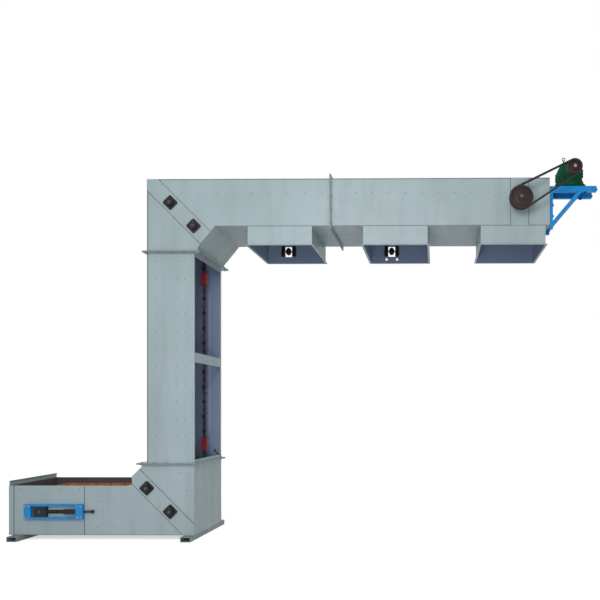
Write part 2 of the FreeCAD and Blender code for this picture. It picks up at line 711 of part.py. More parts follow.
# Chain
def run_loop():
    """The centre line of the chain as its straight runs and bends, in the order that the chain moves."""
    radius = size("pitch_radius")
    boot_outer = (size("boot_outer_x"), size("boot_outer_z"))
    boot_inner = (size("boot_inner_x"), size("boot_inner_z"))
    top_outer = (size("top_outer_x"), size("top_outer_z"))
    top_inner = (size("top_inner_x"), size("top_inner_z"))
    tail = (size("tail_shaft_x"), size("boot_outer_z"))
    head = (size("head_shaft_x"), size("top_outer_z"))
    return [
        ("run", (boot_outer[0], boot_outer[1] - radius), (tail[0], tail[1] - radius)),
        ("bend", tail, -90, -270),
        ("run", (tail[0], tail[1] + radius), (boot_inner[0], boot_inner[1] - radius)),
        ("bend", boot_inner, -90, 0),
        ("run", (boot_inner[0] + radius, boot_inner[1]), (top_outer[0] - radius, top_outer[1])),
        ("bend", top_outer, 180, 90),
        ("run", (top_outer[0], top_outer[1] + radius), (head[0], head[1] + radius)),
        ("bend", head, 90, -90),
        ("run", (head[0], head[1] - radius), (top_inner[0], top_inner[1] + radius)),
        ("bend", top_inner, 90, 180),
        ("run", (top_inner[0] - radius, top_inner[1]), (boot_outer[0] + radius, boot_outer[1])),
        ("bend", boot_outer, 0, -90)]


def stretch_long(stretch):
    """How much chain a run or bend takes: on a bend, one pitch for each tooth."""
    if stretch[0] == "run":
        return math.hypot(stretch[2][0] - stretch[1][0], stretch[2][1] - stretch[1][1])
    return abs(stretch[3] - stretch[2]) / 360 * round(size("sprocket_teeth")) * size("chain_pitch")


def point_on(stretch, share):
    if stretch[0] == "run":
        start, end = stretch[1:]
        return (start[0] + (end[0] - start[0]) * share, start[1] + (end[1] - start[1]) * share)
    centre, first, last = stretch[1:]
    angle = math.radians(first + (last - first) * share)
    return (centre[0] + size("pitch_radius") * math.cos(angle),
            centre[1] + size("pitch_radius") * math.sin(angle))


def chain_pins():
    """Every pin of the closed chain, and the number of the first pin on each run or bend."""
    loop = run_loop()
    total = sum(stretch_long(stretch) for stretch in loop)
    count = 2 * round(total / size("chain_pitch") / 2)
    step = total / count
    pins = []
    firsts = []
    passed = 0
    for stretch in loop:
        long = stretch_long(stretch)
        firsts.append(len(pins))
        while len(pins) < count and len(pins) * step < passed + long - 1e-6:
            pins.append(point_on(stretch, (len(pins) * step - passed) / long))
        passed += long
    return pins, firsts


def pin_angle(centre):
    """The angle, seen from a sprocket's centre, of the first pin that lies on it, in degrees."""
    pins, firsts = chain_pins()
    for number, stretch in enumerate(run_loop()):
        if stretch[0] == "bend" and math.dist(stretch[1], centre) < 1e-6:
            pin = pins[firsts[number]]
            return math.degrees(math.atan2(pin[1] - centre[1], pin[0] - centre[0]))
    raise ValueError("no bend of the chain goes round this shaft")


def link_plate(line, y0, y1):
    """One side of a strand: a plate along a line of pins, each given with its normal."""
    upper = [FreeCAD.Vector(x + nx * half, y0, z + nz * half) for x, z, nx, nz, half in line]
    lower = [FreeCAD.Vector(x - nx * half, y0, z - nz * half) for x, z, nx, nz, half in line]
    points = upper + lower[::-1]
    return Part.Face(Part.makePolygon(points + points[:1])).extrude(FreeCAD.Vector(0, y1 - y0, 0))


def barrel(x, z, radius, y0, y1):
    sides = 8
    corners = [FreeCAD.Vector(x + radius * math.cos(2 * math.pi * (i + 0.5) / sides), y0,
                              z + radius * math.sin(2 * math.pi * (i + 0.5) / sides)) for i in range(sides)]
    return Part.Face(Part.makePolygon(corners + corners[:1])).extrude(FreeCAD.Vector(0, y1 - y0, 0))


def strand_shape(pins, first, last, y, waisted, bush_step):
    """The pins from first to last of one strand: two side plates with bushes between them."""
    count = len(pins)
    full = size("chain_high") / 2
    waist = size("chain_waist") / 2
    line = []
    for i in range(first, last + 1):
        x, z = pins[i % count]
        before = pins[(i - 1) % count]
        after = pins[(i + 1) % count]
        long = math.dist(before, after)
        line.append((x, z, -(after[1] - before[1]) / long, (after[0] - before[0]) / long, full))
        if waisted and i < last:
            span = math.dist((x, z), after)
            line.append(((x + after[0]) / 2, (z + after[1]) / 2,
                         -(after[1] - z) / span, (after[0] - x) / span, waist))
    inside = size("sprocket_thick") / 2 + size("chain_play")
    outside = inside + size("link_plate")
    plates = [link_plate(line, y + inside, y + outside), link_plate(line, y - outside, y - inside)]
    bushes = []
    for i in range(first + first % 2, last, bush_step):
        x, z = pins[i % count]
        bushes.append(barrel(x, z, size("bush_radius"), y - inside, y + inside))
        if waisted:
            knob = outside + size("roller_out")
            bushes.append(barrel(x, z, size("roller_radius"), y - knob, y - outside))
            bushes.append(barrel(x, z, size("roller_radius"), y + outside, y + knob))
    return plates[0].fuse([plates[1]] + bushes)


def chains():
    """Four stretches of the loop. The tail and the return run show, and have a bush at every second pin."""
    pins, firsts = chain_pins()
    count = len(pins)
    ends = {"chain_tail": (firsts[0], firsts[3], False, 2), "chain_rising": (firsts[3], firsts[6], False, 6),
            "chain_head": (firsts[6], firsts[9], False, 6), "chain_return": (firsts[9], count, True, 2)}
    for label, (first, last, waisted, bush_step) in ends.items():
        group(label, [solid("%s_%s" % (label, side), strand_shape(pins, first, last, y, waisted, bush_step))
                      for side, y in (("front", -size("chain_spread") / 2), ("back", size("chain_spread") / 2))])


# Buckets
def bucket_shape():
    """A tub that hangs upright from a pin at each end. The pins are on the Y axis."""
    rim = size("bucket_long") / 2
    base = size("bucket_foot") / 2
    top = size("bucket_rise")
    bottom = top - size("bucket_deep")
    wall = size("bucket_wall")
    half = size("bucket_wide") / 2
    outer = tub(rim, base, top, bottom, half)
    inner = tub(rim - wall, base - wall, top + wall, bottom + wall, half - wall)
    pin_long = size("chain_spread") / 2 - size("chain_half") - half
    shape = outer.cut(inner)
    for start in (-half - pin_long, half):
        shape = shape.fuse(Part.makeBox(2 * size("bucket_pin"), pin_long, 2 * size("bucket_pin"),
                                        FreeCAD.Vector(-size("bucket_pin"), start, -size("bucket_pin"))))
    return shape


def tub(rim, base, top, bottom, half):
    points = [FreeCAD.Vector(-rim, -half, top), FreeCAD.Vector(-base, -half, bottom),
              FreeCAD.Vector(base, -half, bottom), FreeCAD.Vector(rim, -half, top)]
    return Part.Face(Part.makePolygon(points + points[:1])).extrude(FreeCAD.Vector(0, 2 * half, 0))


def bucket_row(label, start, end):
    """Buckets at every second chain pitch from one end of a run towards the other."""
    long = math.hypot(end[0] - start[0], end[1] - start[1])
    step = 2 * size("chain_pitch")
    count = int(long / step)
    members = []
    for i in range(count + 1):
        share = i * step / long
        shape = bucket_shape()
        shape.translate(FreeCAD.Vector(start[0] + (end[0] - start[0]) * share, 0,
                                       start[1] + (end[1] - start[1]) * share))
        members.append(solid("%s_%d" % (label, i + 1), shape))
    group(label, members)


def buckets():
    radius = size("pitch_radius")
    row_high = size("boot_outer_z") + radius
    rise_x = size("boot_inner_x") + radius
    upper_row = size("top_outer_z") + radius
    bucket_row("buckets_lower", (size("tail_shaft_x"), row_high), (size("boot_inner_x"), row_high))
    bucket_row("buckets_rising", (rise_x, size("boot_inner_z") + size("chain_pitch")),
               (rise_x, size("top_outer_z") - size("chain_pitch")))
    bucket_row("buckets_upper", (size("top_outer_x"), upper_row), (size("head_shaft_x"), upper_row))


# Chain guides
def guide_rails():
    """A rail behind each strand of the return run, on a web from the casing wall."""
    x1 = "return_x - roller_radius - rail_gap"
    low = "rail_low"
    high = "rail_top"
    members = [
        padded("rail_front", box_corners(x1 + " - rail_thick", x1, "-inner_half", "-chain_spread / 2 + chain_half"),
               high + " - " + low, plane="XY_Plane", z=low),
        padded("rail_back", box_corners(x1 + " - rail_thick", x1, "chain_spread / 2 - chain_half", "inner_half"),
               high + " - " + low, plane="XY_Plane", z=low)]
    group("guide_rails", members)


def guide_shoes():
    """A block at each end of each rail, with a slot that the chain runs through."""
    members = []
    left = "return_x - roller_radius - rail_gap"
    slot_half = "chain_half + roller_out + rail_gap"
    for side, middle in (("front", "-chain_spread / 2"), ("back", "chain_spread / 2")):
        for level, low in (("low", "rail_low"), ("high", "rail_top - shoe_high")):
            y0 = "%s - shoe_deep / 2" % middle
            y1 = "%s + shoe_deep / 2" % middle
            slot_y0 = "%s - (%s)" % (middle, slot_half)
            slot_y1 = "%s + (%s)" % (middle, slot_half)
            slot_x = "return_x + roller_radius + rail_gap"
            members.append(padded("shoe_%s_%s" % (side, level), [
                (left, y0), (left + " + shoe_wide", y0), (left + " + shoe_wide", y1), (left, y1),
                (left, slot_y1), (slot_x, slot_y1), (slot_x, slot_y0), (left, slot_y0)],
                "shoe_high", plane="XY_Plane", z=low))
    group("guide_shoes", members)


# Take-up
def takeup_frames():
    outline = box_corners("takeup_left", "takeup_right", "boot_outer_z - takeup_half", "boot_outer_z + takeup_half")
    window = box_corners("takeup_left + takeup_end", "takeup_right - takeup_end",
                         "boot_outer_z - takeup_half + takeup_rail", "boot_outer_z + takeup_half - takeup_rail")
    members = []
    for side, y in (("front", "-half_wide"), ("back", "half_wide + takeup_thick")):
        frame = padded("takeup_frame_" + side, outline, "takeup_thick", windows=[window], y=y)
        bore = doc.addObject("Part::Cylinder", "takeup_bore_" + side)
        bore.setExpression("Radius", bound("screw_radius"))
        bore.setExpression("Height", bound("2 * takeup_end"))
        bore.Placement = FreeCAD.Placement(FreeCAD.Vector(), FreeCAD.Rotation(FreeCAD.Vector(0, 1, 0), 90))
        place(bore, "takeup_right - takeup_end * 3 / 2", y + " - takeup_thick / 2", "boot_outer_z")
        cut = doc.addObject("Part::Cut", "takeup_cut_" + side)
        cut.Base = frame
        cut.Tool = bore
        members.append(cut)
    group("takeup_frames", members)


def takeup_blocks():
    """The tail bearing block, its screw with a nut block, and the knob at the screw's end."""
    x = size("tail_shaft_x")
    z = size("boot_outer_z")
    thick = size("takeup_thick")
    half_long = size("block_long") / 2
    half_high = size("takeup_half") - size("takeup_rail") - size("block_play")
    right = size("takeup_right")
    members = []
    for side, y in (("front", -size("half_wide") - thick), ("back", size("half_wide"))):
        middle_y = y + thick / 2
        block = Part.makeBox(2 * half_long, thick, 2 * half_high, FreeCAD.Vector(x - half_long, y, z - half_high))
        ends = [edge for edge in block.Edges if abs(edge.tangentAt(0).y) > 0.9]
        block = block.makeFillet(thick / 3, ends)
        bore = Part.makeCylinder(size("shaft_radius"), 2 * thick, FreeCAD.Vector(x, y - thick / 2, z),
                                 FreeCAD.Vector(0, 1, 0))
        block = block.cut(bore)
        along = FreeCAD.Vector(1, 0, 0)
        start = x + size("shaft_radius") + (half_long - size("shaft_radius")) / 2
        screw_end = right + size("screw_out")
        screw = Part.makeCylinder(size("screw_radius"), screw_end - start, FreeCAD.Vector(start, middle_y, z), along)
        knob = Part.makeCylinder(size("knob_radius"), size("knob_long"), FreeCAD.Vector(screw_end, middle_y, z), along)
        nut_end = right - size("takeup_end")
        nut = Part.makeBox(size("nut_block_long"), thick, size("nut_block_high"),
                           FreeCAD.Vector(nut_end - size("nut_block_long"), y, z - size("nut_block_high") / 2))
        members.append(solid("takeup_block_" + side, block.fuse([screw, knob, nut])))
    group("takeup_blocks", members)


# Drive
def motor_bracket():
    """Two braced side frames on the head end plate, with a plate on top for the gear motor."""
    left = size("head_x")
    right = left + size("bracket_reach")
    low = size("beam_low")
    high = low + size("bracket_beam")
    foot_z = high - size("bracket_drop")
    post = left + size("bracket_post")
    brace_x = left + size("brace_reach")
    width = size("bracket_post")
    outline = [(left, foot_z), (post, foot_z), (post, foot_z + width), (brace_x, low), (right, low),
               (right, high), (left, high)]
    inner = [(post, foot_z + width * 2.4), (post, low), (brace_x - width * 1.3, low)]
    frames = []
    for number in range(2):
        y = size("bracket_front") + number * size("bracket_gap")
        points = [FreeCAD.Vector(px, y, pz) for px, pz in outline]
        hollow = [FreeCAD.Vector(px, y, pz) for px, pz in inner]
        face = Part.Face(Part.makePolygon(points + points[:1]))
        face = face.cut(Part.Face(Part.makePolygon(hollow + hollow[:1])))
        frames.append(face.extrude(FreeCAD.Vector(0, size("bracket_wall"), 0)))
    deck_long = size("bracket_gap") + size("bracket_wall")
    deck = Part.makeBox(right - left, deck_long, size("bracket_plate"),
                        FreeCAD.Vector(left, size("bracket_front"), high))
    shape = frames[0].fuse([frames[1], deck]).removeSplitter()
    keep("motor_bracket", solid("motor_bracket", shape))


def gear_motor():
    """A foot-mounted round gear reducer with a flanged motor behind it and a breather on top."""
    x = size("drive_x")
    z = size("drive_shaft_high")
    base_z = size("reducer_foot")
    start = size("reducer_start")
    radius = size("reducer_radius")
    long = size("reducer_long")
    rim = radius * 0.12
    housing = lathe([(0, start), (radius * 0.45, start), (radius * 0.55, start + rim), (radius * 0.9, start + rim),
                     (radius, start + 2 * rim), (radius, start + long), (0, start + long)])
    motor_r = size("motor_radius")
    neck = start + long
    motor = lathe([(0, neck), (motor_r * 1.15, neck), (motor_r * 1.15, neck + rim), (motor_r, neck + 2 * rim),
                   (motor_r, neck + size("motor_long") - rim), (motor_r * 0.85, neck + size("motor_long")),
                   (0, neck + size("motor_long"))])
    shaft_front = size("pulley_front") - size("pulley_wide") / 2
    stub = Part.makeCylinder(size("shaft_radius"), start - shaft_front + rim, FreeCAD.Vector(0, shaft_front, 0),
                             FreeCAD.Vector(0, 1, 0))
    turned = housing.fuse([motor, stub])
    turned.translate(FreeCAD.Vector(x, 0, z))
    half = size("reducer_base") / 2
    thick = size("reducer_base_thick")
    neck_half = size("reducer_neck") / 2
    rise = size("reducer_centre")
    outline = [(-half, 0), (half, 0), (half, thick), (neck_half * 2.4, thick * 1.8), (neck_half * 2.6, rise * 0.7),
               (-neck_half * 2.6, rise * 0.7), (-neck_half * 2.4, thick * 1.8), (-half, thick)]
    points = [FreeCAD.Vector(x + px, start + rim * 2, base_z + pz) for px, pz in outline]
    pedestal = Part.Face(Part.makePolygon(points + points[:1]))
    pedestal = pedestal.extrude(FreeCAD.Vector(0, long - 2 * rim, 0))
    lug_r = size("shaft_radius")
    lug = Part.makeCylinder(lug_r, radius * 0.25, FreeCAD.Vector(x, start + long / 2, z + radius * 0.95))
    box_side = motor_r * 0.9
    terminal = Part.makeBox(box_side, box_side * 1.2, box_side * 0.7, FreeCAD.Vector(
        x - box_side / 2, neck + size("motor_long") * 0.25, z + motor_r * 0.75))
    shape = turned.fuse([pedestal, lug, terminal]).removeSplitter()
    keep("gear_motor", solid("gear_motor", shape))


def pulley(label, x, z, radius):
    """A belt pulley with a rim, a web and a hub that fills to its shaft."""
    wide = size("pulley_wide")
    rim = radius - size("pulley_rim")
    hub = size("pulley_hub")
    bore = size("shaft_radius")
    groove = size("belt_wide") / 2
    web = wide * 0.12
    outline = [(bore, -wide / 2), (hub, -wide / 2), (hub, -web), (rim, -web), (rim, -wide / 2),
               (radius + 4, -wide / 2), (radius, -groove), (radius, groove), (radius + 4, wide / 2),
               (rim, wide / 2), (rim, web), (hub, web), (hub, wide / 2), (bore, wide / 2)]
    if rim - hub < hub / 2:
        outline = [(bore, -wide / 2), (radius + 4, -wide / 2), (radius, -groove), (radius, groove),
                   (radius + 4, wide / 2), (bore, wide / 2)]
    shape = lathe(outline)
    shape.translate(FreeCAD.Vector(x, size("pulley_front"), z))
    keep(label, solid(label, shape))


def belt_outline(start, start_radius, end, end_radius):
    """The closed line round two pulleys: an arc on each and the two tangents between them."""
    gap_x = end[0] - start[0]
    gap_z = end[1] - start[1]
    long = math.hypot(gap_x, gap_z)
    facing = math.atan2(gap_z, gap_x)
    lean = math.acos((start_radius - end_radius) / long)

    def on(centre, radius, angle):
        return FreeCAD.Vector(centre[0] + radius * math.cos(angle), 0, centre[1] + radius * math.sin(angle))
    high = facing + lean
    low = facing - lean
    far = facing + math.pi
    edges = [
        Part.makeLine(on(start, start_radius, high), on(end, end_radius, high)),
        Part.Arc(on(end, end_radius, high), on(end, end_radius, facing), on(end, end_radius, low)).toShape(),
        Part.makeLine(on(end, end_radius, low), on(start, start_radius, low)),
        Part.Arc(on(start, start_radius, low), on(start, start_radius, far), on(start, start_radius, high)).toShape()]
    return Part.Face(Part.Wire(edges))


def belt_drive():
    head = (size("head_shaft_x"), size("top_outer_z"))
    drive = (size("drive_x"), size("drive_shaft_high"))
    pulley("head_pulley", head[0], head[1], size("head_pulley_radius"))
    pulley("drive_pulley", drive[0], drive[1], size("drive_pulley_radius"))
    thick = size("belt_thick")
    outer = belt_outline(head, size("head_pulley_radius") + thick, drive, size("drive_pulley_radius") + thick)
    inner = belt_outline(head, size("head_pulley_radius"), drive, size("drive_pulley_radius"))
    wide = size("belt_wide")
    loop = outer.cut(inner)
    loop.translate(FreeCAD.Vector(0, size("pulley_front") - wide / 2, 0))
    keep("drive_belt", solid("drive_belt", loop.extrude(FreeCAD.Vector(0, wide, 0))))


casing_panels()
folded_plates()
throat_plates()
tail_end_plate()
leg_window_frame()
flanges()
foot("corner_foot", "0")
foot("tail_foot", "tail_x + tail_foot_inset")
for outlet in (1, 2, 3):
    hopper(outlet)
group("tipper_stations", [tipper_station(1), tipper_station(2)])
bearing_plates()
bearings()
shafts()
chains()
buckets()
guide_rails()
guide_shoes()
takeup_frames()
takeup_blocks()
motor_bracket()
gear_motor()
belt_drive()
doc.recompute()

for item in doc.Objects:
    if "Invalid" in item.State or "Error" in item.State:
        raise RuntimeError("%s failed: %s" % (item.Label, item.State))
for item in parts:
    if item.Shape.isNull() or not item.Shape.isValid():
        raise RuntimeError("%s has no valid shape" % item.Label)

os.makedirs("parts", exist_ok=True)
for item in parts:
    item.Shape.exportStep("parts/%s.step" % item.Label)
print("%d parts" % len(parts))
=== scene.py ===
import bmesh
import bpy
import json
import math
import random
from mathutils import Matrix, Vector


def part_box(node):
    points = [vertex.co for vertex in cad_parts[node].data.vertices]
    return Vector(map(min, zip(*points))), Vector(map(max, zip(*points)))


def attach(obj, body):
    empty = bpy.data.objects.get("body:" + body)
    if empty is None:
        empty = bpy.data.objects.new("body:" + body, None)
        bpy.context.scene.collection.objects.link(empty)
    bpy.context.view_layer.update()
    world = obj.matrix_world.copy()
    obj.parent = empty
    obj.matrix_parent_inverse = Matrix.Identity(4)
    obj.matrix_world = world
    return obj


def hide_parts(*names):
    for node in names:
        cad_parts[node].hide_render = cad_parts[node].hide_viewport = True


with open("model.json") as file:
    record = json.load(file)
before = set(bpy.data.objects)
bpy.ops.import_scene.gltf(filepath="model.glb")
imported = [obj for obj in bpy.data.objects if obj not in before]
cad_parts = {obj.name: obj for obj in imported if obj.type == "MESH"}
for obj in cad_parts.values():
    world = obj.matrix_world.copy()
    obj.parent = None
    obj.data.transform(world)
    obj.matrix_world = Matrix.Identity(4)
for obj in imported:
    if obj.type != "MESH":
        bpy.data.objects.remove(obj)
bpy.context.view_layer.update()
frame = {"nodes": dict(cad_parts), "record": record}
random.seed(7)

# Sizes in metres, as in the part's source
HALF_WIDE = 0.380
SHEET = 0.004
SECTION = 0.475
LEG_RIGHT = 0.050
LEG_LEFT = LEG_RIGHT - SECTION
TAIL_X = -1.815
HEAD_X = 3.595
LOWER_BOTTOM = 0.050
LOWER_TOP = LOWER_BOTTOM + 0.495
UPPER_TOP = 3.610
UPPER_BOTTOM = UPPER_TOP - SECTION
LOW_FLANGE = 0.765
HIGH_FLANGE = 2.880
JOINT_X = 1.415
FLANGE_OUT = 0.035
FLANGE_THICK = 0.008
SEAM_X = -1.055
BULGE_LEFT = LEG_LEFT - 0.150
BULGE_SHOULDER = BULGE_LEFT + 0.095
BULGE_LOW = LOWER_TOP + 0.095
NECK_RIGHT = LEG_RIGHT + 0.034
NECK_RUN = 0.169
NECK_DROP = 0.206
NECK_END = NECK_RIGHT + NECK_RUN
ELBOW_STRIP_HALF = 0.080
HEAD_STRIP_HALF = 0.090
BEARING_FACE = SHEET + 0.014
BEARING_HOLE = 0.039
CHAIN_PITCH = 0.080
TEETH = 9
PITCH_RADIUS = CHAIN_PITCH / (2 * math.sin(math.pi / TEETH))
BOOT_OUTER = (LEG_RIGHT - SECTION / 2, LOWER_BOTTOM + SECTION / 2)
BOOT_INNER = (BOOT_OUTER[0] - 2 * PITCH_RADIUS, BOOT_OUTER[1] + 2 * PITCH_RADIUS)
TOP_OUTER = (LEG_LEFT + SECTION / 2, UPPER_TOP - SECTION / 2)
TOP_INNER = (TOP_OUTER[0] + 2 * PITCH_RADIUS, TOP_OUTER[1] - 2 * PITCH_RADIUS)
TAIL = (TAIL_X + 0.330, BOOT_OUTER[1])
HEAD = (HEAD_X - 0.300, TOP_OUTER[1])
STRAND_Y = 0.190
HOPPER_STARTS = (0.585, 1.739, 2.911)
HOPPER_LONG = 0.642
DRIVE = (HEAD_X + 0.217, 3.669)
PULLEY_Y = -0.499
PULLEY_WIDE = 0.054
GROOVES = 2
HEAD_PULLEY = 0.110
DRIVE_PULLEY = 0.070
PULLEY_HUB = 0.034

# Directions
FRONT = (0, -1, 0)
BACK = (0, 1, 0)
RIGHT = (1, 0, 0)
LEFT = (-1, 0, 0)
UP = (0, 0, 1)
DOWN = (0, 0, -1)
LAID_FORWARD = Matrix.Rotation(math.radians(90), 4, "X")


# Shader helpers
def new_material(name):
    material = bpy.data.materials.new(name)
    material.use_nodes = True
    tree = material.node_tree
    shader = tree.nodes["Principled BSDF"]
    return material, tree, shader


def add_node(tree, kind, **values):
    node = tree.nodes.new(kind)
    for key, value in values.items():
        setattr(node, key, value)
    return node


def noise(tree, scale, detail=3.0, stretch=(1, 1, 1)):
    """A noise value that follows the object's own coordinates."""
    where = add_node(tree, "ShaderNodeTexCoord")
    mapping = add_node(tree, "ShaderNodeMapping")
    mapping.inputs["Scale"].default_value = stretch
    texture = add_node(tree, "ShaderNodeTexNoise")
    texture.inputs["Scale"].default_value = scale
    texture.inputs["Detail"].default_value = detail
    tree.links.new(where.outputs["Object"], mapping.inputs["Vector"])
    tree.links.new(mapping.outputs["Vector"], texture.inputs["Vector"])
    return texture.outputs["Fac"]


def spread(tree, value, low, high, out_low=0.0, out_high=1.0):
    """The value's range from low to high, spread over another range."""
    remap = add_node(tree, "ShaderNodeMapRange")
    remap.inputs["From Min"].default_value = low
    remap.inputs["From Max"].default_value = high
    remap.inputs["To Min"].default_value = out_low
    remap.inputs["To Max"].default_value = out_high
    tree.links.new(value, remap.inputs["Value"])
    return remap.outputs["Result"]


def blend_colours(tree, factor, first, second):
    """From the first colour to the second; each is a plain colour or a socket."""
    mix = add_node(tree, "ShaderNodeMix", data_type="RGBA")
    for socket, value in ((6, first), (7, second)):
        if isinstance(value, tuple):
            mix.inputs[socket].default_value = (*value, 1.0)
        else:
            tree.links.new(value, mix.inputs[socket])
    tree.links.new(factor, mix.inputs[0])
    return mix.outputs[2]


def darker(colour, share=0.84):
    return tuple(share * c for c in colour)


def add_bump(tree, shader, height, strength, distance):
    bump = add_node(tree, "ShaderNodeBump")
    bump.inputs["Strength"].default_value = strength
    bump.inputs["Distance"].default_value = distance
    tree.links.new(height, bump.inputs["Height"])
    tree.links.new(bump.outputs["Normal"], shader.inputs["Normal"])


def vary_roughness(tree, shader, value, low, high):
    sheen = spread(tree, value, low=0.3, high=0.7, out_low=low, out_high=high)
    tree.links.new(sheen, shader.inputs["Roughness"])


def facing(tree, direction):
    """1 where the surface faces along direction, and 0 elsewhere."""
    geometry = add_node(tree, "ShaderNodeNewGeometry")
    dot = add_node(tree, "ShaderNodeVectorMath", operation="DOT_PRODUCT")
    dot.inputs[1].default_value = direction
    tree.links.new(geometry.outputs["True Normal"], dot.inputs[0])
    return spread(tree, dot.outputs["Value"], low=0.55, high=0.6)


def facing_centre(tree, centre):
    """1 on walls that face an upright line through centre, such as the inside of a chute."""
    geometry = add_node(tree, "ShaderNodeNewGeometry")
    away = add_node(tree, "ShaderNodeVectorMath", operation="SUBTRACT")
    away.inputs[1].default_value = centre
    tree.links.new(geometry.outputs["Position"], away.inputs[0])
    level = add_node(tree, "ShaderNodeVectorMath", operation="MULTIPLY")
    level.inputs[1].default_value = (1, 1, 0)
    tree.links.new(geometry.outputs["True Normal"], level.inputs[0])
    dot = add_node(tree, "ShaderNodeVectorMath", operation="DOT_PRODUCT")
    tree.links.new(away.outputs["Vector"], dot.inputs[0])
    tree.links.new(level.outputs["Vector"], dot.inputs[1])
    return spread(tree, dot.outputs["Value"], low=-0.02, high=-0.03)


def below(tree, level):
    """1 under a level, and 0 over it."""
    geometry = add_node(tree, "ShaderNodeNewGeometry")
    parts = add_node(tree, "ShaderNodeSeparateXYZ")
    tree.links.new(geometry.outputs["Position"], parts.inputs[0])
    return spread(tree, parts.outputs["Z"], low=level + 0.001, high=level - 0.001)


def both(tree, first, second):
    product = add_node(tree, "ShaderNodeMath", operation="MULTIPLY")
    tree.links.new(first, product.inputs[0])
    tree.links.new(second, product.inputs[1])
    return product.outputs[0]


# Materials
PAINT = (0.36, 0.445, 0.465)
PAINT_SHADE = (0.32, 0.40, 0.415)
SLATE = (0.245, 0.315, 0.475)
# A slightly paler copy of the inner slate for the leg: painted light that lifts its shaded inside
LEG_SLATE_PAINTED_LIGHTER = (0.25, 0.325, 0.49)
# Dark inner coat of the lower run and the tail: painted shade inside the open boot
BOOT_PAINTED_SHADE = (0.105, 0.09, 0.09)
EDGE_GREY = (0.27, 0.31, 0.32)


def painted_sheet(name, colour=PAINT, shade=PAINT_SHADE, mask=None, inner=SLATE, rough=0.42):
    """Sprayed paint on sheet: cloudy tone, faint runs and fine grain, and another coat where mask is 1."""
    material, tree, shader = new_material(name)
    cloud = spread(tree, noise(tree, scale=1.7, detail=4.0), low=0.35, high=0.7)
    drips = noise(tree, scale=9.0, stretch=(1, 1, 0.12))
    runs = spread(tree, drips, low=0.45, high=0.75, out_high=0.45)
    tone = blend_colours(tree, cloud, colour, shade)
    tone = blend_colours(tree, runs, tone, darker(shade, 0.82))
    if mask is not None:
        mottled = blend_colours(tree, cloud, inner, darker(inner))
        tone = blend_colours(tree, mask(tree), tone, mottled)
    tree.links.new(tone, shader.inputs["Base Color"])
    vary_roughness(tree, shader, noise(tree, scale=14.0), rough - 0.06, rough + 0.1)
    shader.inputs["Specular IOR Level"].default_value = 0.25
    add_bump(tree, shader, noise(tree, scale=260.0, detail=2.0), strength=0.25, distance=0.0006)
    return material


def coated(name, colour, shade, rough, metal=0.0, grain=180.0, depth=0.0008, patches=12.0, gloss=0.3):
    """A plain coat or bare metal with patches of wear and a grain."""
    material, tree, shader = new_material(name)
    wear = spread(tree, noise(tree, scale=patches, detail=4.0), low=0.4, high=0.68)
    tree.links.new(blend_colours(tree, wear, colour, shade), shader.inputs["Base Color"])
    vary_roughness(tree, shader, noise(tree, scale=patches * 3), rough - 0.08, rough + 0.12)
    shader.inputs["Metallic"].default_value = metal
    shader.inputs["Specular IOR Level"].default_value = gloss
    add_bump(tree, shader, noise(tree, scale=grain), strength=0.35, distance=depth)
    return material


def brushed(name, colour, shade, rough, stretch=(1, 1, 1)):
    """Turned or drawn steel with fine lines."""
    material, tree, shader = new_material(name)
    lines = spread(tree, noise(tree, scale=30.0, stretch=stretch), low=0.35, high=0.7)
    tree.links.new(blend_colours(tree, lines, colour, shade), shader.inputs["Base Color"])
    shader.inputs["Metallic"].default_value = 0.9
    dulling = noise(tree, scale=60.0, detail=2.0, stretch=stretch)
    vary_roughness(tree, shader, dulling, rough - 0.08, rough + 0.1)
    grain = noise(tree, scale=240.0, detail=2.0, stretch=stretch)
    add_bump(tree, shader, grain, strength=0.2, distance=0.0004)
    return material


casing_plain = painted_sheet("casing paint")
slate_plain = painted_sheet("slate paint", SLATE, darker(SLATE))
# Dark beads on the joints: partly sealant, partly painted shadow along the strips' edges
seam_and_shadow_grey = painted_sheet("seam and shadow grey", (0.10, 0.115, 0.12), (0.07, 0.08, 0.085), rough=0.6)
# Darker bands on the casing's rounded edges: painted shade
painted_edge_shade = painted_sheet("painted edge shade", (0.215, 0.25, 0.26), (0.17, 0.20, 0.21), rough=0.5)
rail_paint = painted_sheet("rail paint", (0.35, 0.43, 0.54), (0.31, 0.38, 0.48))
foot_paint = painted_sheet("foot paint", (0.25, 0.29, 0.29), (0.19, 0.22, 0.22))
bearing_black = coated("bearing black", (0.004, 0.004, 0.006), (0.010, 0.010, 0.010), rough=0.38)
shaft_steel = brushed("shaft steel", (0.36, 0.34, 0.32), (0.2, 0.17, 0.14), rough=0.35, stretch=(1, 0.1, 1))
chain_steel = coated("chain steel", (0.085, 0.085, 0.095), (0.035, 0.033, 0.04), rough=0.5, metal=0.4,
                     grain=300.0)
gasket_grey = coated("gasket grey", (0.06, 0.068, 0.07), (0.035, 0.04, 0.042), rough=0.6)
roller_black = coated("roller black", (0.012, 0.012, 0.016), (0.025, 0.022, 0.024), rough=0.4, metal=0.2)
sprocket_steel = coated("sprocket steel", (0.10, 0.09, 0.085), (0.05, 0.035, 0.028), rough=0.5, metal=0.7)
bucket_orange = coated("bucket plastic", (0.50, 0.15, 0.03), (0.36, 0.09, 0.02), rough=0.38,
                       grain=90.0, depth=0.0005, patches=7.0)
shoe_red = coated("red plastic", (0.34, 0.028, 0.045), (0.24, 0.018, 0.030), rough=0.45,
                  grain=120.0, depth=0.0004)
blue_paint = coated("blue paint", (0.004, 0.26, 0.66), (0.003, 0.20, 0.54), rough=0.36,
                    grain=200.0, depth=0.0005, patches=8.0)
green_paint = coated("green paint", (0.001, 0.085, 0.03), (0.0008, 0.045, 0.016), rough=0.5,
                     grain=240.0, depth=0.0004, patches=9.0, gloss=0.12)
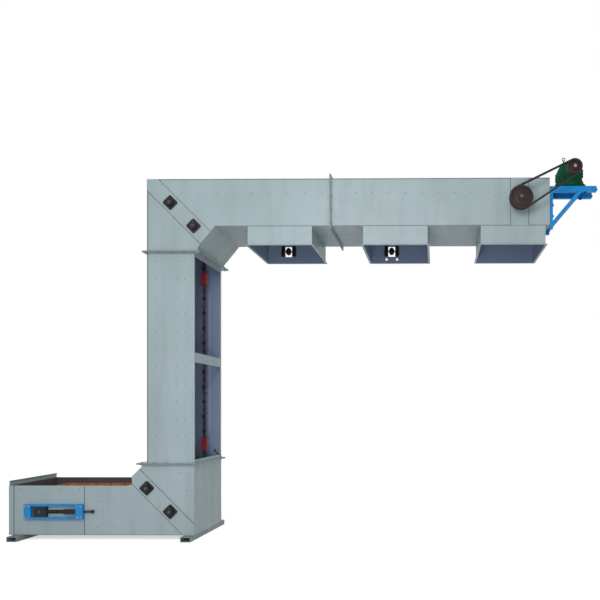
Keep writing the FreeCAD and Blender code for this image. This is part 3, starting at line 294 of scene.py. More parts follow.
pulley_iron = coated("pulley iron", (0.030, 0.015, 0.015), (0.016, 0.009, 0.009), rough=0.5, metal=0.1)
belt_rubber = coated("belt rubber", (0.02, 0.018, 0.017), (0.035, 0.03, 0.027), rough=0.7,
                     grain=400.0, depth=0.0005, patches=20.0)
screw_zinc = brushed("screw zinc", (0.30, 0.31, 0.31), (0.18, 0.18, 0.18), rough=0.4)
screw_dark = coated("screw dark", (0.15, 0.16, 0.16), (0.09, 0.09, 0.09), rough=0.5, metal=0.4)
rusty_steel = coated("rusty steel", (0.13, 0.055, 0.03), (0.06, 0.025, 0.015), rough=0.65, metal=0.3,
                     grain=120.0, depth=0.001)
brass = brushed("nipple brass", (0.45, 0.32, 0.12), (0.3, 0.2, 0.07), rough=0.35)

INWARD = {
    "lower_front_panel": BACK, "leg_front_panel": BACK, "upper_front_panel": BACK, "head_front_panel": BACK,
    "lower_back_panel": FRONT, "leg_back_panel": FRONT, "upper_back_panel": FRONT, "head_back_panel": FRONT,
    "leg_left_panel": RIGHT, "leg_window_frame": LEFT, "tail_end_plate": RIGHT}
FINISHES = {
    "casing_paint": casing_plain, "foot_paint": foot_paint, "bearing_iron": bearing_black,
    "shaft_steel": sprocket_steel, "chain_steel": chain_steel, "bucket_plastic": bucket_orange,
    "shoe_plastic": shoe_red, "blue_paint": blue_paint, "green_paint": green_paint,
    "pulley_iron": pulley_iron, "belt_rubber": belt_rubber}


def inward_mask(node):
    """The inside faces of a panel. The tail plate's lip keeps the outer paint."""
    if node == "tail_end_plate":
        return lambda tree: both(tree, facing(tree, INWARD[node]), below(tree, LOWER_TOP))
    return lambda tree: facing(tree, INWARD[node])


def box_middle(node):
    low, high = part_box(node)
    return tuple((a + b) / 2 for a, b in zip(low, high))


def finish_for(node, slot):
    """Panels and outlets have another coat inside, and flanges a greyer front edge. Inside the lower run and
    the tail that coat is a dark painted shade, and inside the leg it is a slightly paler slate that is
    painted light.
    """
    name = "paint of " + node
    if node in INWARD:
        inner = SLATE
        # The lower run and the tail get painted shade inside
        if node.startswith(("lower", "tail")):
            inner = BOOT_PAINTED_SHADE
        # The leg gets the paler slate, which is painted light
        elif node.startswith("leg"):
            inner = LEG_SLATE_PAINTED_LIGHTER
        return painted_sheet(name, mask=inward_mask(node), inner=inner)
    if node.startswith("hopper"):
        middle = box_middle(node)
        return painted_sheet(name, mask=lambda tree: facing_centre(tree, middle))
    if node.endswith("_flange"):
        return painted_sheet(name, mask=lambda tree: facing(tree, FRONT), inner=EDGE_GREY)
    return FINISHES[slot]


def give(obj, material):
    obj.data.materials.clear()
    obj.data.materials.append(material)


def round_edges(obj, width):
    edge = obj.modifiers.new("edge", "BEVEL")
    edge.width = width
    edge.segments = 2
    edge.limit_method = "ANGLE"
    edge.angle_limit = math.radians(40)


def dress_nodes():
    """Every carried-over node gets its finish, and a small round on its edges."""
    for part in frame["record"]["subparts"]:
        obj = frame["nodes"][part["node"]]
        give(obj, finish_for(part["node"], part["material_slot"]))
        round_edges(obj, 0.0007)


# Mesh helpers
def new_object(name, data):
    obj = bpy.data.objects.new(name, data)
    bpy.context.scene.collection.objects.link(obj)
    return obj


def make_piece(name, bm, material, smooth_angle=35, bevel=0.0):
    mesh = bpy.data.meshes.new(name)
    bmesh.ops.recalc_face_normals(bm, faces=bm.faces)
    bm.to_mesh(mesh)
    bm.free()
    obj = new_object(name, mesh)
    give(obj, material)
    for face in mesh.polygons:
        face.use_smooth = True
    mesh.set_sharp_from_angle(angle=math.radians(smooth_angle))
    if bevel:
        round_edges(obj, bevel)
    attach(obj, "root")
    return obj


def round_points(count, radius, turn=0.0):
    """Points evenly round a circle."""
    angles = [2 * math.pi * i / count + turn for i in range(count)]
    return [(radius * math.cos(angle), radius * math.sin(angle)) for angle in angles]


def join_rings(bm, rings, closed=False):
    """Quads between rings of equally many vertices, and from the last ring to the first if closed."""
    pairs = list(zip(rings, rings[1:]))
    if closed:
        pairs.append((rings[-1], rings[0]))
    for first, second in pairs:
        for i in range(len(first)):
            j = (i + 1) % len(first)
            bm.faces.new((first[i], first[j], second[j], second[i]))


def cap_rings(bm, rings):
    bm.faces.new(rings[0][::-1])
    bm.faces.new(rings[-1])


def add_turned(bm, profile, matrix, steps=32, closed=False):
    """A solid turned about the local Z axis from (radius, height) points."""
    rings = []
    for radius, height in profile:
        around = round_points(steps, radius) if radius > 0 else [(0, 0)]
        rings.append([bm.verts.new(matrix @ Vector((x, y, height))) for x, y in around])
    pairs = list(zip(rings, rings[1:]))
    if closed:
        pairs.append((rings[-1], rings[0]))
    for low, high in pairs:
        for i in range(steps):
            j = (i + 1) % steps
            corners = [low[i % len(low)], low[j % len(low)], high[j % len(high)], high[i % len(high)]]
            unique = list(dict.fromkeys(corners))
            if len(unique) > 2:
                bm.faces.new(unique)


def cylinder(radius, low, high):
    return [(0, low), (radius, low), (radius, high), (0, high)]


def add_prism(bm, outline, low, high, matrix):
    """An outline in local X and Y, raised from low to high along local Z."""
    rings = [[bm.verts.new(matrix @ Vector((x, y, z))) for x, y in outline] for z in (low, high)]
    join_rings(bm, rings)
    cap_rings(bm, rings)


def rectangle(x0, x1, y0, y1):
    return [(x0, y0), (x1, y0), (x1, y1), (x0, y1)]


def add_box(bm, x0, x1, y0, y1, z0, z1):
    """A box between two corners. Its Y limits may come in either order."""
    add_prism(bm, rectangle(x0, x1, *sorted((y0, y1))), z0, z1, Matrix.Identity(4))


def towards(direction, point):
    """A frame at point whose Z axis points along direction."""
    turn = Vector(UP).rotation_difference(Vector(direction))
    return Matrix.Translation(Vector(point)) @ turn.to_matrix().to_4x4()


def rounded_rectangle(half_x, half_y, radius, steps=4):
    points = []
    for sx, sy, start in ((1, 1, 0), (-1, 1, 90), (-1, -1, 180), (1, -1, 270)):
        for i in range(steps + 1):
            angle = math.radians(start + 90 * i / steps)
            points.append((sx * (half_x - radius) + radius * math.cos(angle),
                           sy * (half_y - radius) + radius * math.sin(angle)))
    return points


def add_hex_bolt(bm, point, direction, radius):
    """A washer with a hexagon head and a rounded crown."""
    at = towards(direction, point)
    head_top = radius * 0.8
    add_turned(bm, cylinder(radius * 1.55, 0, radius * 0.22), at, steps=16)
    add_prism(bm, round_points(6, radius, random.uniform(0, 1)), radius * 0.2, head_top, at)
    crown = [(radius * 0.84, head_top), (radius * 0.7, radius * 0.9), (0, radius * 0.92)]
    add_turned(bm, crown, at, steps=12)


def add_pan_screw(bm, point, direction, radius):
    """A domed screw head."""
    profile = [(0, 0), (1, 0), (1, 0.25), (0.8, 0.5), (0.4, 0.66), (0, 0.7)]
    add_turned(bm, [(radius * r, radius * z) for r, z in profile], towards(direction, point), steps=14)


def bolt_field(name, spots, radius, adder=add_hex_bolt, material=screw_zinc):
    """One piece with a bolt or screw at each spot, a place with the way it faces."""
    bm = bmesh.new()
    for point, direction in spots:
        adder(bm, point, direction, radius)
    return make_piece(name, bm, material)


def black_bolts(name, spots, radius):
    bolt_field(name, spots, radius, material=bearing_black)


def stations(start, end, step):
    """Evenly spaced places from start to end, about step apart."""
    count = max(1, round((end - start) / step))
    return [start + (end - start) * i / count for i in range(count + 1)]


# Screws and bolts of the casing
SCREW_STEP = 0.17
FLANGE_ROW = stations(-0.33, 0.33, 0.132)


def both_sides(places, proud=0.0):
    """Spots on the front and the back of the casing, from places in X and Z."""
    spots = []
    for x, z in places:
        spots.append(((x, -HALF_WIDE - proud, z), FRONT))
        spots.append(((x, HALF_WIDE + proud, z), BACK))
    return spots


def casing_screws():
    """Rows of small screws: each group has places in X and levels in Z."""
    leg = ((-0.335, -0.125, -0.045), stations(0.86, 2.79, SCREW_STEP))
    upper = (stations(-0.08, 1.33, SCREW_STEP) + stations(1.50, 3.15, SCREW_STEP), (3.465,))
    feed = ((-1.708, -1.520, -1.310, -1.105), (0.505,))
    lower = ((-0.920, -0.765), (0.387, 0.127))
    boot = ((-0.100, -0.022), (0.497, 0.675))
    places = [(x, z) for columns, levels in (leg, upper, feed, lower, boot) for x in columns for z in levels]
    bolt_field("casing_screws", both_sides(places), 0.0045, add_pan_screw, screw_dark)


def flange_bolts():
    """A bolt on either side of the paired plates, all along each flange ring."""
    spots = []

    def pair(point, axis):
        for side in (1, -1):
            seat = tuple(p + side * FLANGE_THICK * a for p, a in zip(point, axis))
            spots.append((seat, tuple(side * a for a in axis)))

    out = FLANGE_OUT / 2
    margin = 0.03
    sides = (-HALF_WIDE - out, HALF_WIDE + out)
    for level, left, right in ((LOW_FLANGE, BULGE_SHOULDER, LEG_RIGHT), (HIGH_FLANGE, LEG_LEFT, NECK_RIGHT)):
        for x in stations(left, right, 0.13):
            for y in sides:
                pair((x, y, level), UP)
        for y in FLANGE_ROW:
            for x in (left - out, right + out):
                pair((x, y, level), UP)
    for z in stations(UPPER_BOTTOM + margin, UPPER_TOP - margin, 0.14):
        for y in sides:
            pair((JOINT_X, y, z), RIGHT)
    for y in FLANGE_ROW:
        for z in (UPPER_BOTTOM - out, UPPER_TOP + out):
            pair((JOINT_X, y, z), RIGHT)
    bolt_field("flange_bolts", spots, radius=0.0075)


def bearing_bolts():
    """Four bolts on each bearing, which stands on its corner at the elbows, and its grease nipple."""
    elbows = (BOOT_OUTER, BOOT_INNER, TOP_OUTER, TOP_INNER)
    far = BEARING_HOLE * math.sqrt(2)
    places = [(x + dx * far, z + dz * far) for x, z in elbows
              for dx, dz in ((1, 0), (-1, 0), (0, 1), (0, -1))]
    places += [(HEAD[0] + dx * BEARING_HOLE, HEAD[1] + dz * BEARING_HOLE)
               for dx, dz in ((1, 1), (-1, 1), (1, -1), (-1, -1))]
    black_bolts("bearing_bolts", both_sides(places, BEARING_FACE), radius=0.0085)
    bm = bmesh.new()
    profile = [(0.0035, -0.004), (0.0035, 0.006), (0.002, 0.008), (0.0028, 0.011), (0, 0.013)]
    rise = 0.033
    dome = HALF_WIDE + BEARING_FACE + 0.008
    for x, z in (*elbows, HEAD):
        for side in (-1, 1):
            add_turned(bm, profile, towards((0, side * 0.5, 1), (x, side * dome, z + rise)), steps=10)
    make_piece("grease_nipples", bm, brass)


def strip_screws():
    """Screws along both edges of the elbow strips and of the head strips."""
    places = []
    inset = 0.012
    half = ELBOW_STRIP_HALF - inset
    for (x, z), way, start in ((BOOT_OUTER, (-1, 1), -0.10), (TOP_OUTER, (1, -1), -0.20)):
        for along in stations(start, 0.46, 0.11):
            for side in (-half, half):
                places.append((x + (way[0] * along + side) / math.sqrt(2),
                               z + (way[1] * along + side) / math.sqrt(2)))
    margin = 0.03
    half = HEAD_STRIP_HALF - inset
    for z in stations(UPPER_BOTTOM + margin, UPPER_TOP - margin, 0.104):
        for side in (-half, half):
            places.append((HEAD[0] + side, z))
    bolt_field("strip_screws", both_sides(places, SHEET), 0.0055, add_pan_screw, casing_plain)


# Seams and sealing strips
GASKET_HALF = 0.0018
GASKET_PROUD = 0.0012
GASKET_INSET = 0.004


def add_seam(bm, start, end, y, wide, rise):
    """A narrow bead from start to end, given in X and Z, on a face at y, raised by rise to one side."""
    along = Vector((end[0] - start[0], 0, end[1] - start[1]))
    side = Vector((along.z, 0, -along.x)).normalized() * (wide / 2)
    first = Vector((start[0], y, start[1]))
    last = Vector((end[0], y, end[1]))
    corners = [first + side, first - side, last - side, last + side]
    rings = [[bm.verts.new(point + Vector((0, lift, 0))) for point in corners] for lift in (0, rise)]
    join_rings(bm, rings)
    cap_rings(bm, rings)


def strip_edges():
    """The two long edges of each strip, as its node has them, in X and Z."""
    half = ELBOW_STRIP_HALF * math.sqrt(2)
    slope = BULGE_LOW - BULGE_LEFT
    total = sum(BOOT_OUTER)
    near = total - half
    far = total + half
    edges = [((BULGE_LEFT, near - BULGE_LEFT), (near - LOWER_BOTTOM, LOWER_BOTTOM)),
             (((far - slope) / 2, (far + slope) / 2), (LEG_RIGHT, far - LEG_RIGHT))]
    total = sum(TOP_OUTER)
    near = total - half
    far = total + half
    for line, start in ((near, (LEG_LEFT, near - LEG_LEFT)), (far, (far - UPPER_TOP, UPPER_TOP))):
        share = (NECK_END + UPPER_BOTTOM - line) / (NECK_RUN + NECK_DROP)
        edges.append((start, (NECK_END - NECK_RUN * share, UPPER_BOTTOM - NECK_DROP * share)))
    for side in (-HEAD_STRIP_HALF, HEAD_STRIP_HALF):
        edges.append(((HEAD[0] + side, UPPER_BOTTOM), (HEAD[0] + side, UPPER_TOP)))
    return edges


def seams():
    """Dark beads on the joints between the casing's sheets, partly sealant and partly painted shadow along
    the strips' edges, and darker bands along their folded edges, which are painted shade.
    """
    joints = bmesh.new()
    edge_shade_mesh = bmesh.new()
    thin = 0.0012
    # Bands of painted shade along the casing's rounded edges
    shaded_edge_bands = [
        ((LEG_LEFT + 0.006, LOW_FLANGE), (LEG_LEFT + 0.006, UPPER_TOP), 0.012),
        ((LEG_LEFT, UPPER_TOP - 0.005), (HEAD_X, UPPER_TOP - 0.005), 0.010),
        ((NECK_END, UPPER_BOTTOM + 0.004), (HEAD_X, UPPER_BOTTOM + 0.004), 0.008),
        ((TAIL_X, LOWER_BOTTOM + 0.003), (LEG_RIGHT, LOWER_BOTTOM + 0.003), 0.006)]
    for side in (-1, 1):
        wall = side * HALF_WIDE
        # Beads along the strips' edges: partly sealant, partly painted shadow
        for start, end in strip_edges():
            add_seam(joints, start, end, wall, 0.0042, side * 0.0045)
        for x in (SEAM_X, TAIL_X + 0.049):
            add_seam(joints, (x, LOWER_BOTTOM), (x, LOWER_TOP), wall, 0.0055, side * thin)
        for start, end, wide in shaded_edge_bands:
            add_seam(edge_shade_mesh, start, end, wall, wide, side * thin)
    make_piece("casing_seams", joints, seam_and_shadow_grey)
    make_piece("casing_edge_shade", edge_shade_mesh, painted_edge_shade)


def add_gasket(bm, left, right, at):
    """Four strips that stand out a little round a flange ring from left to right, in the frame at."""
    out = HALF_WIDE + FLANGE_OUT
    strips = [
        (left, right, -out - GASKET_PROUD, -out + GASKET_INSET),
        (left, right, out - GASKET_INSET, out + GASKET_PROUD),
        (left - GASKET_PROUD, left + GASKET_INSET, -out, out),
        (right - GASKET_INSET, right + GASKET_PROUD, -out, out)]
    for strip in strips:
        add_prism(bm, rectangle(*strip), -GASKET_HALF, GASKET_HALF, at)


def flange_gaskets():
    """Sealing strips between the paired flange plates."""
    bm = bmesh.new()
    low = Matrix.Translation((0, 0, LOW_FLANGE))
    high = Matrix.Translation((0, 0, HIGH_FLANGE))
    upright = Matrix.Translation((JOINT_X, 0, 0)) @ Matrix.Rotation(math.radians(90), 4, "Y")
    add_gasket(bm, BULGE_SHOULDER - FLANGE_OUT, LEG_RIGHT + FLANGE_OUT, low)
    add_gasket(bm, LEG_LEFT - FLANGE_OUT, NECK_RIGHT + FLANGE_OUT, high)
    add_gasket(bm, -UPPER_TOP - FLANGE_OUT, FLANGE_OUT - UPPER_BOTTOM, upright)
    make_piece("flange_gaskets", bm, gasket_grey)


# Fittings inside the leg
RAIL_LEFT = -0.0965
RAIL_RIGHT = -0.0915
RAIL_NEAR_Y = 0.1973
RAIL_FAR_Y = 0.226
RAIL_LOW = 0.866
RAIL_HIGH = 2.795
LEG_WALL_Y = HALF_WIDE - SHEET


def rail_angles():
    """Angle edges of the guide rails along the leg's walls."""
    bm = bmesh.new()
    for side in (-1, 1):
        add_box(bm, RAIL_RIGHT, RAIL_RIGHT + 0.020, side * LEG_WALL_Y, side * LEG_WALL_Y - side * 0.004,
                1.048, 2.627)
    make_piece("rail_angles", bm, rail_paint)


def guide_rails():
    """A flat rail behind each strand, on arms from the wall."""
    bm = bmesh.new()
    for side in (-1, 1):
        add_box(bm, RAIL_LEFT, RAIL_RIGHT, side * RAIL_NEAR_Y, side * RAIL_FAR_Y, RAIL_LOW, RAIL_HIGH)
        for z in stations(0.93, 2.71, 0.30):
            add_box(bm, RAIL_LEFT, RAIL_LEFT + 0.0035, side * RAIL_NEAR_Y, side * LEG_WALL_Y,
                    z - 0.020, z + 0.020)
    obj = make_piece("guide_rails_on_arms", bm, slate_plain)
    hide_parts("guide_rails")


def window_stay():
    """A short rod with a washer at each end, across the lower window's corner."""
    bm = bmesh.new()
    start = Vector((LEG_RIGHT - 0.010, 0.205, 0.858))
    end = Vector((LEG_RIGHT - 0.010, 0.352, 0.797))
    add_turned(bm, cylinder(0.007, 0, (end - start).length), towards(end - start, start), steps=14)
    washer = [(0, -0.004), (0.013, -0.004), (0.013, 0.010), (0.008, 0.013), (0, 0.013)]
    for point in (start, end):
        add_turned(bm, washer, towards(RIGHT, point), steps=16)
    make_piece("window_stay", bm, bearing_black)


# Chain, with loose plates, pins and rollers where the source has joined plates
LINK_END = 0.0168
LINK_WAIST = 0.0125
PLATE_THICK = 0.0024
INNER_PLATE = 0.0052
OUTER_PLATE = 0.0078
PIN_RADIUS = 0.005
PIN_HALF = 0.0125
BENDS = [(TAIL, -90, -270), (BOOT_INNER, -90, 0), (TOP_OUTER, 180, 90), (HEAD, 90, -90),
         (TOP_INNER, 90, 180), (BOOT_OUTER, 0, -90)]


def rim_point(centre, degrees):
    """The place of a pin on a sprocket, in X and Z."""
    angle = math.radians(degrees)
    return (centre[0] + PITCH_RADIUS * math.cos(angle), centre[1] + PITCH_RADIUS * math.sin(angle))


def chain_loop():
    """Straight runs and bends in turn, from the boot to the tail, up to the head and back."""
    loop = []
    for before, bend in zip(BENDS[-1:] + BENDS, BENDS):
        loop.append(("run", rim_point(before[0], before[2]), rim_point(bend[0], bend[1])))
        loop.append(("bend", *bend))
    return loop


def stretch_long(stretch):
    if stretch[0] == "run":
        return math.dist(stretch[1], stretch[2])
    return abs(stretch[3] - stretch[2]) / 360 * TEETH * CHAIN_PITCH


def between(start, end, share):
    """The point in X and Z at a share of the way from start to end."""
    return (start[0] + (end[0] - start[0]) * share, start[1] + (end[1] - start[1]) * share)


def point_on(stretch, share):
    if stretch[0] == "run":
        return between(stretch[1], stretch[2], share)
    centre, first, last = stretch[1:]
    return rim_point(centre, first + (last - first) * share)


def chain_pins():
    """The pins' places all round the loop, and the number of each stretch's first pin."""
    loop = chain_loop()
    total = sum(stretch_long(stretch) for stretch in loop)
    count = 2 * round(total / CHAIN_PITCH / 2)
    step = total / count
    pins = []
    firsts = []
    passed = 0.0
    for stretch in loop:
        long = stretch_long(stretch)
        firsts.append(len(pins))
        while len(pins) < count and len(pins) * step < passed + long - 1e-9:
            pins.append(point_on(stretch, (len(pins) * step - passed) / long))
        passed += long
    return pins, firsts


def link_outline(long):
    """The outline of a link plate: round ends joined by a waist."""
    points = []
    for centre, start, waist in ((long / 2, -70, LINK_WAIST), (-long / 2, 110, -LINK_WAIST)):
        for i in range(8):
            angle = math.radians(start + 140 * i / 7)
            points.append((centre + LINK_END * math.cos(angle), LINK_END * math.sin(angle)))
        points.append((0, waist))
    return points


def add_link(bm, start, end, y, near):
    """A pair of plates from one pin to the next, the inner face of each near from the middle."""
    angle = math.atan2(end[1] - start[1], end[0] - start[0])
    x, z = between(start, end, 0.5)
    turn = Matrix.Translation((x, y, z)) @ Matrix.Rotation(-angle, 4, "Y") @ LAID_FORWARD
    for way in (-1, 1):
        low, high = sorted((way * near, way * (near + PLATE_THICK)))
        add_prism(bm, link_outline(math.dist(start, end)), low, high, turn)


def chain_piece(label, pins, first, last):
    """Link plates in turn inside and outside, with pins, rollers and their end discs."""
    count = len(pins)
    links = bmesh.new()
    discs = bmesh.new()
    pin = cylinder(PIN_RADIUS, -PIN_HALF, PIN_HALF)
    roller = [(0.005, -0.005), (0.0078, -0.005), (0.0078, 0.005), (0.005, 0.005)]
    disc = [(0, 0.0106), (0.0170, 0.0106), (0.019, 0.0114), (0.019, 0.0116), (0.017, 0.0123), (0, 0.0123)]
    for side in (-1, 1):
        y = side * STRAND_Y
        for i in range(first, last):
            add_link(links, pins[i % count], pins[(i + 1) % count], y, INNER_PLATE if i % 2 else OUTER_PLATE)
        for i in range(first, last + 1):
            x, z = pins[i % count]
            at = towards(BACK, (x, y, z))
            add_turned(links, pin, at, steps=12)
            add_turned(links, roller, at, steps=16)
            if i % 2 == 0:
                for way in (-1, 1):
                    add_turned(discs, [(radius, way * height) for radius, height in disc], at, steps=20)
    obj = make_piece(label + "_links", links, chain_steel, smooth_angle=40)
    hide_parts(label)
    make_piece(label + "_rollers", discs, roller_black, smooth_angle=40)


def chains():
    pins, firsts = chain_pins()
    chain_piece("chain_tail", pins, firsts[0], firsts[3])
    chain_piece("chain_rising", pins, firsts[3], firsts[6])
    chain_piece("chain_head", pins, firsts[6], firsts[9])
    chain_piece("chain_return", pins, firsts[9], len(pins))


# Buckets
BUCKET_LONG = 0.150
BUCKET_FOOT = 0.096
BUCKET_DEEP = 0.128
BUCKET_WIDE = 0.344
BUCKET_WALL = 0.004
BUCKET_RISE = 0.100


def add_bucket(bm, centre):
    """A moulded tub with a rolled rim, rounded corners and a round bottom edge."""
    half = BUCKET_WIDE / 2
    top = BUCKET_RISE
    bottom = top - BUCKET_DEEP
    rim = BUCKET_LONG / 2
    foot = BUCKET_FOOT / 2
    wall = BUCKET_WALL
    levels = [
        (foot - 0.016, half - 0.018, bottom, 0.010),
        (foot - 0.004, half - 0.004, bottom + 0.004, 0.014),
        (foot + 0.002, half - 0.001, bottom + 0.016, 0.016),
        (rim - 0.005, half - 0.002, top - 0.012, 0.016),
        (rim, half, top - 0.010, 0.018),
        (rim, half, top - 0.002, 0.018),
        (rim - 0.002, half - 0.002, top, 0.016),
        (rim - wall, half - wall, top - 0.001, 0.014),
        (rim - wall - 0.002, half - wall - 0.002, top - 0.012, 0.013),
        (foot - wall + 0.002, half - wall - 0.001, bottom + 0.018, 0.012),
        (foot - wall - 0.005, half - wall - 0.008, bottom + wall + 0.003, 0.010),
        (foot - 0.022, half - 0.024, bottom + wall, 0.008)]
    rings = []
    for half_x, half_y, z, radius in levels:
        outline = rounded_rectangle(half_x, half_y, radius)
        rings.append([bm.verts.new((centre[0] + x, y, centre[1] + z)) for x, y in outline])
    join_rings(bm, rings)
    cap_rings(bm, rings)
    sunk = 0.003
    long = STRAND_Y - OUTER_PLATE - half + sunk
    boss = [(0, 0), (0.017, 0), (0.015, 0.005), (0.007, 0.006), (0.007, long), (0, long)]
    for side in (-1, 1):
        add_turned(bm, boss, towards((0, side, 0), (centre[0], side * (half - sunk), centre[1])), 20)


def bucket_row(label, start, end):
    long = math.dist(start, end)
    step = 2 * CHAIN_PITCH
    bm = bmesh.new()
    for i in range(int(long / step + 1e-9) + 1):
        add_bucket(bm, between(start, end, i * step / long))
    obj = make_piece(label + "_moulded", bm, bucket_orange, smooth_angle=50)
    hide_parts(label)


def buckets():
    r = PITCH_RADIUS
    bucket_row("buckets_lower", (TAIL[0], TAIL[1] + r), (BOOT_INNER[0], TAIL[1] + r))
    bucket_row("buckets_rising", (BOOT_INNER[0] + r, BOOT_INNER[1] + CHAIN_PITCH),
               (BOOT_INNER[0] + r, TOP_OUTER[1] - CHAIN_PITCH))
    bucket_row("buckets_upper", (TOP_OUTER[0], TOP_OUTER[1] + r), (HEAD[0], TOP_OUTER[1] + r))


# Drive
def pulley_profile(radius):
    """A grooved rim, a thin web and a hub with its bore, as a closed outline of (radius, height)."""
    half = PULLEY_WIDE / 2
    rim = radius - 0.014
    land = radius + 0.004
    groove = radius - 0.008
    step = PULLEY_WIDE / GROOVES
    web = 0.008
    face = [(0.015, -half), (PULLEY_HUB, -half), (PULLEY_HUB, -0.012), (PULLEY_HUB + 0.01, -web),
            (rim - 0.008, -web), (rim, -0.014), (rim, -half)]
    tread = [(land, -half)]
    for i in range(GROOVES):
        low = -half + i * step
        tread += [(land, low + step * 0.13), (groove, low + step * 0.32),
                  (groove, low + step * 0.68), (land, low + step * 0.87)]
    tread.append((land, half))
    return face + tread + [(r, -z) for r, z in face[::-1]]


def pulley(label, centre, radius):
    bm = bmesh.new()
    at = towards(FRONT, (centre[0], PULLEY_Y, centre[1]))
    add_turned(bm, pulley_profile(radius), at, steps=72, closed=True)
    obj = make_piece(label + "_grooved", bm, pulley_iron, smooth_angle=28)
    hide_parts(label)


def belt_path(radius_a, radius_b):
    """Points round both pulleys for a belt of these radii."""
    gap = Vector((DRIVE[0] - HEAD[0], DRIVE[1] - HEAD[1]))
    level = math.atan2(gap.y, gap.x)
    lean = math.acos((radius_a - radius_b) / gap.length)
    steps = 40
    arcs = ((HEAD, radius_a, level + lean, 2 * math.pi - 2 * lean), (DRIVE, radius_b, level - lean, 2 * lean))
    points = []
    for centre, radius, start, sweep in arcs:
        for i in range(steps + 1):
            angle = start + sweep * i / steps
            points.append((centre[0] + radius * math.cos(angle), centre[1] + radius * math.sin(angle)))
    return points


def vee_belts():
    """Belts side by side, each with slanted flanks that sit in its groove."""
    bm = bmesh.new()
    step = PULLEY_WIDE / GROOVES
    section = ((-0.006, 0.0035), (0.005, 0.0075), (0.0065, 0.0068))
    for number in range(GROOVES):
        y = PULLEY_Y + (number - (GROOVES - 1) / 2) * step
        loops = []
        for offset, half in section:
            path = belt_path(HEAD_PULLEY + offset, DRIVE_PULLEY + offset)
            loops.append([[bm.verts.new((x, y + side * half, z)) for x, z in path] for side in (-1, 1)])
        near = [pair[0] for pair in loops]
        far = [pair[1] for pair in loops]
        join_rings(bm, near + far[::-1], closed=True)
    obj = make_piece("drive_belts", bm, belt_rubber)
    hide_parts("drive_belt")


def shaft_ends():
    """Shaft ends with their keys at both pulleys."""
    bm = bmesh.new()
    end = [(0, -0.002), (0.0145, -0.002), (0.0145, 0.004), (0.0125, 0.0055), (0.004, 0.0055), (0.002, 0.003),
           (0, 0.003)]
    key = rectangle(-0.004, 0.004, 0.011, 0.019)
    for x, z in (HEAD, DRIVE):
        at = towards(FRONT, (x, PULLEY_Y - PULLEY_WIDE / 2, z))
        add_turned(bm, end, at, steps=28)
        add_prism(bm, key, -0.001, 0.0035, at)
    make_piece("shaft_ends", bm, shaft_steel)


# Gear motor
GEAR_START = -0.350
GEAR_END = GEAR_START + 0.190
GEAR_RADIUS = 0.128
MOTOR_RADIUS = 0.084
MOTOR_END = GEAR_END + 0.260
GEAR_FOOT = DRIVE[1] - 0.138
GEAR_LUGS = 12
FINS = 34


def gear_profile():
    """The turned outline of the reducer with its two flanges, and of the motor with its cowl."""
    s = GEAR_START
    e = GEAR_END
    f = MOTOR_END
    r = GEAR_RADIUS
    m = MOTOR_RADIUS
    return [
        (0, s), (0.046, s), (0.056, s + 0.004), (0.064, s + 0.012), (0.106, s + 0.014), (0.115, s + 0.018),
        (0.120, s + 0.027), (r, s + 0.030), (r, s + 0.050), (r - 0.006, s + 0.053), (r - 0.006, s + 0.085),
        (r, s + 0.088), (r, s + 0.104), (r - 0.006, s + 0.107), (r - 0.007, s + 0.140), (r, s + 0.144),
        (r, s + 0.162), (r - 0.012, s + 0.166), (0.108, s + 0.180), (0.108, e - 0.006), (0.104, e + 0.010),
        (0.088, e + 0.014), (0.076, e + 0.020), (0.076, f - 0.070), (m, f - 0.068), (m, f - 0.012),
        (0.078, f - 0.003), (0.070, f), (0, f)]


def gear_motor():
    """Round reducer on a flared foot, its flanges, a ribbed motor with a fan cowl and a terminal box."""
    bm = bmesh.new()
    x, z = DRIVE
    at = towards(BACK, (x, 0, z))
    add_turned(bm, gear_profile(), at, steps=72)
    tip = MOTOR_RADIUS + 0.0005
    fin = [(0.073, -0.0013), (tip, -0.0009), (tip, 0.0009), (0.073, 0.0013)]
    for i in range(FINS):
        add_prism(bm, fin, GEAR_END + 0.024, MOTOR_END - 0.074,
                  at @ Matrix.Rotation(2 * math.pi * i / FINS, 4, "Z"))
    for i in range(GEAR_LUGS):
        turn = Matrix.Rotation(2 * math.pi * (i + 0.5) / GEAR_LUGS, 4, "Z")
        lug = at @ turn @ Matrix.Translation((GEAR_RADIUS - 0.006, 0, 0))
        for start in (GEAR_START + 0.030, GEAR_START + 0.144):
            add_prism(bm, round_points(10, 0.009), start, start + 0.020, lug)
    half_foot = [(0.150, 0), (0.150, 0.020), (0.146, 0.024), (0.134, 0.026), (0.122, 0.036), (0.114, 0.056),
                 (0.112, 0.098)]
    foot = half_foot + [(-across, up) for across, up in half_foot[::-1]]
    add_prism(bm, foot, -0.136, 0.0, Matrix.Translation((x, GEAR_START + 0.026, GEAR_FOOT)) @ LAID_FORWARD)
    web = Matrix.Translation((x, GEAR_START + 0.09, GEAR_FOOT)) @ LAID_FORWARD
    for side in (-1, 1):
        rib = [(side * 0.144, 0.020), (side * 0.110, 0.030), (side * 0.110, 0.100)]
        for start in (-0.055, 0.045):
            add_prism(bm, rib, start, start + 0.010, web)
    box_y = GEAR_END + 0.105
    box = Matrix.Translation((x, box_y, z + MOTOR_RADIUS - 0.008))
    add_prism(bm, rounded_rectangle(0.038, 0.048, 0.008), 0, 0.040, box)
    add_prism(bm, rounded_rectangle(0.040, 0.050, 0.009), 0.040, 0.052, box)
    gland = [(0, 0), (0.012, 0), (0.012, 0.008), (0.009, 0.010), (0.009, 0.020), (0.0055, 0.022), (0, 0.022)]
    add_turned(bm, gland, towards(RIGHT, (x + 0.036, box_y, z + MOTOR_RADIUS + 0.014)), steps=12)
    obj = make_piece("gear_motor_housing", bm, green_paint, smooth_angle=32, bevel=0.0006)
    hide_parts("gear_motor")


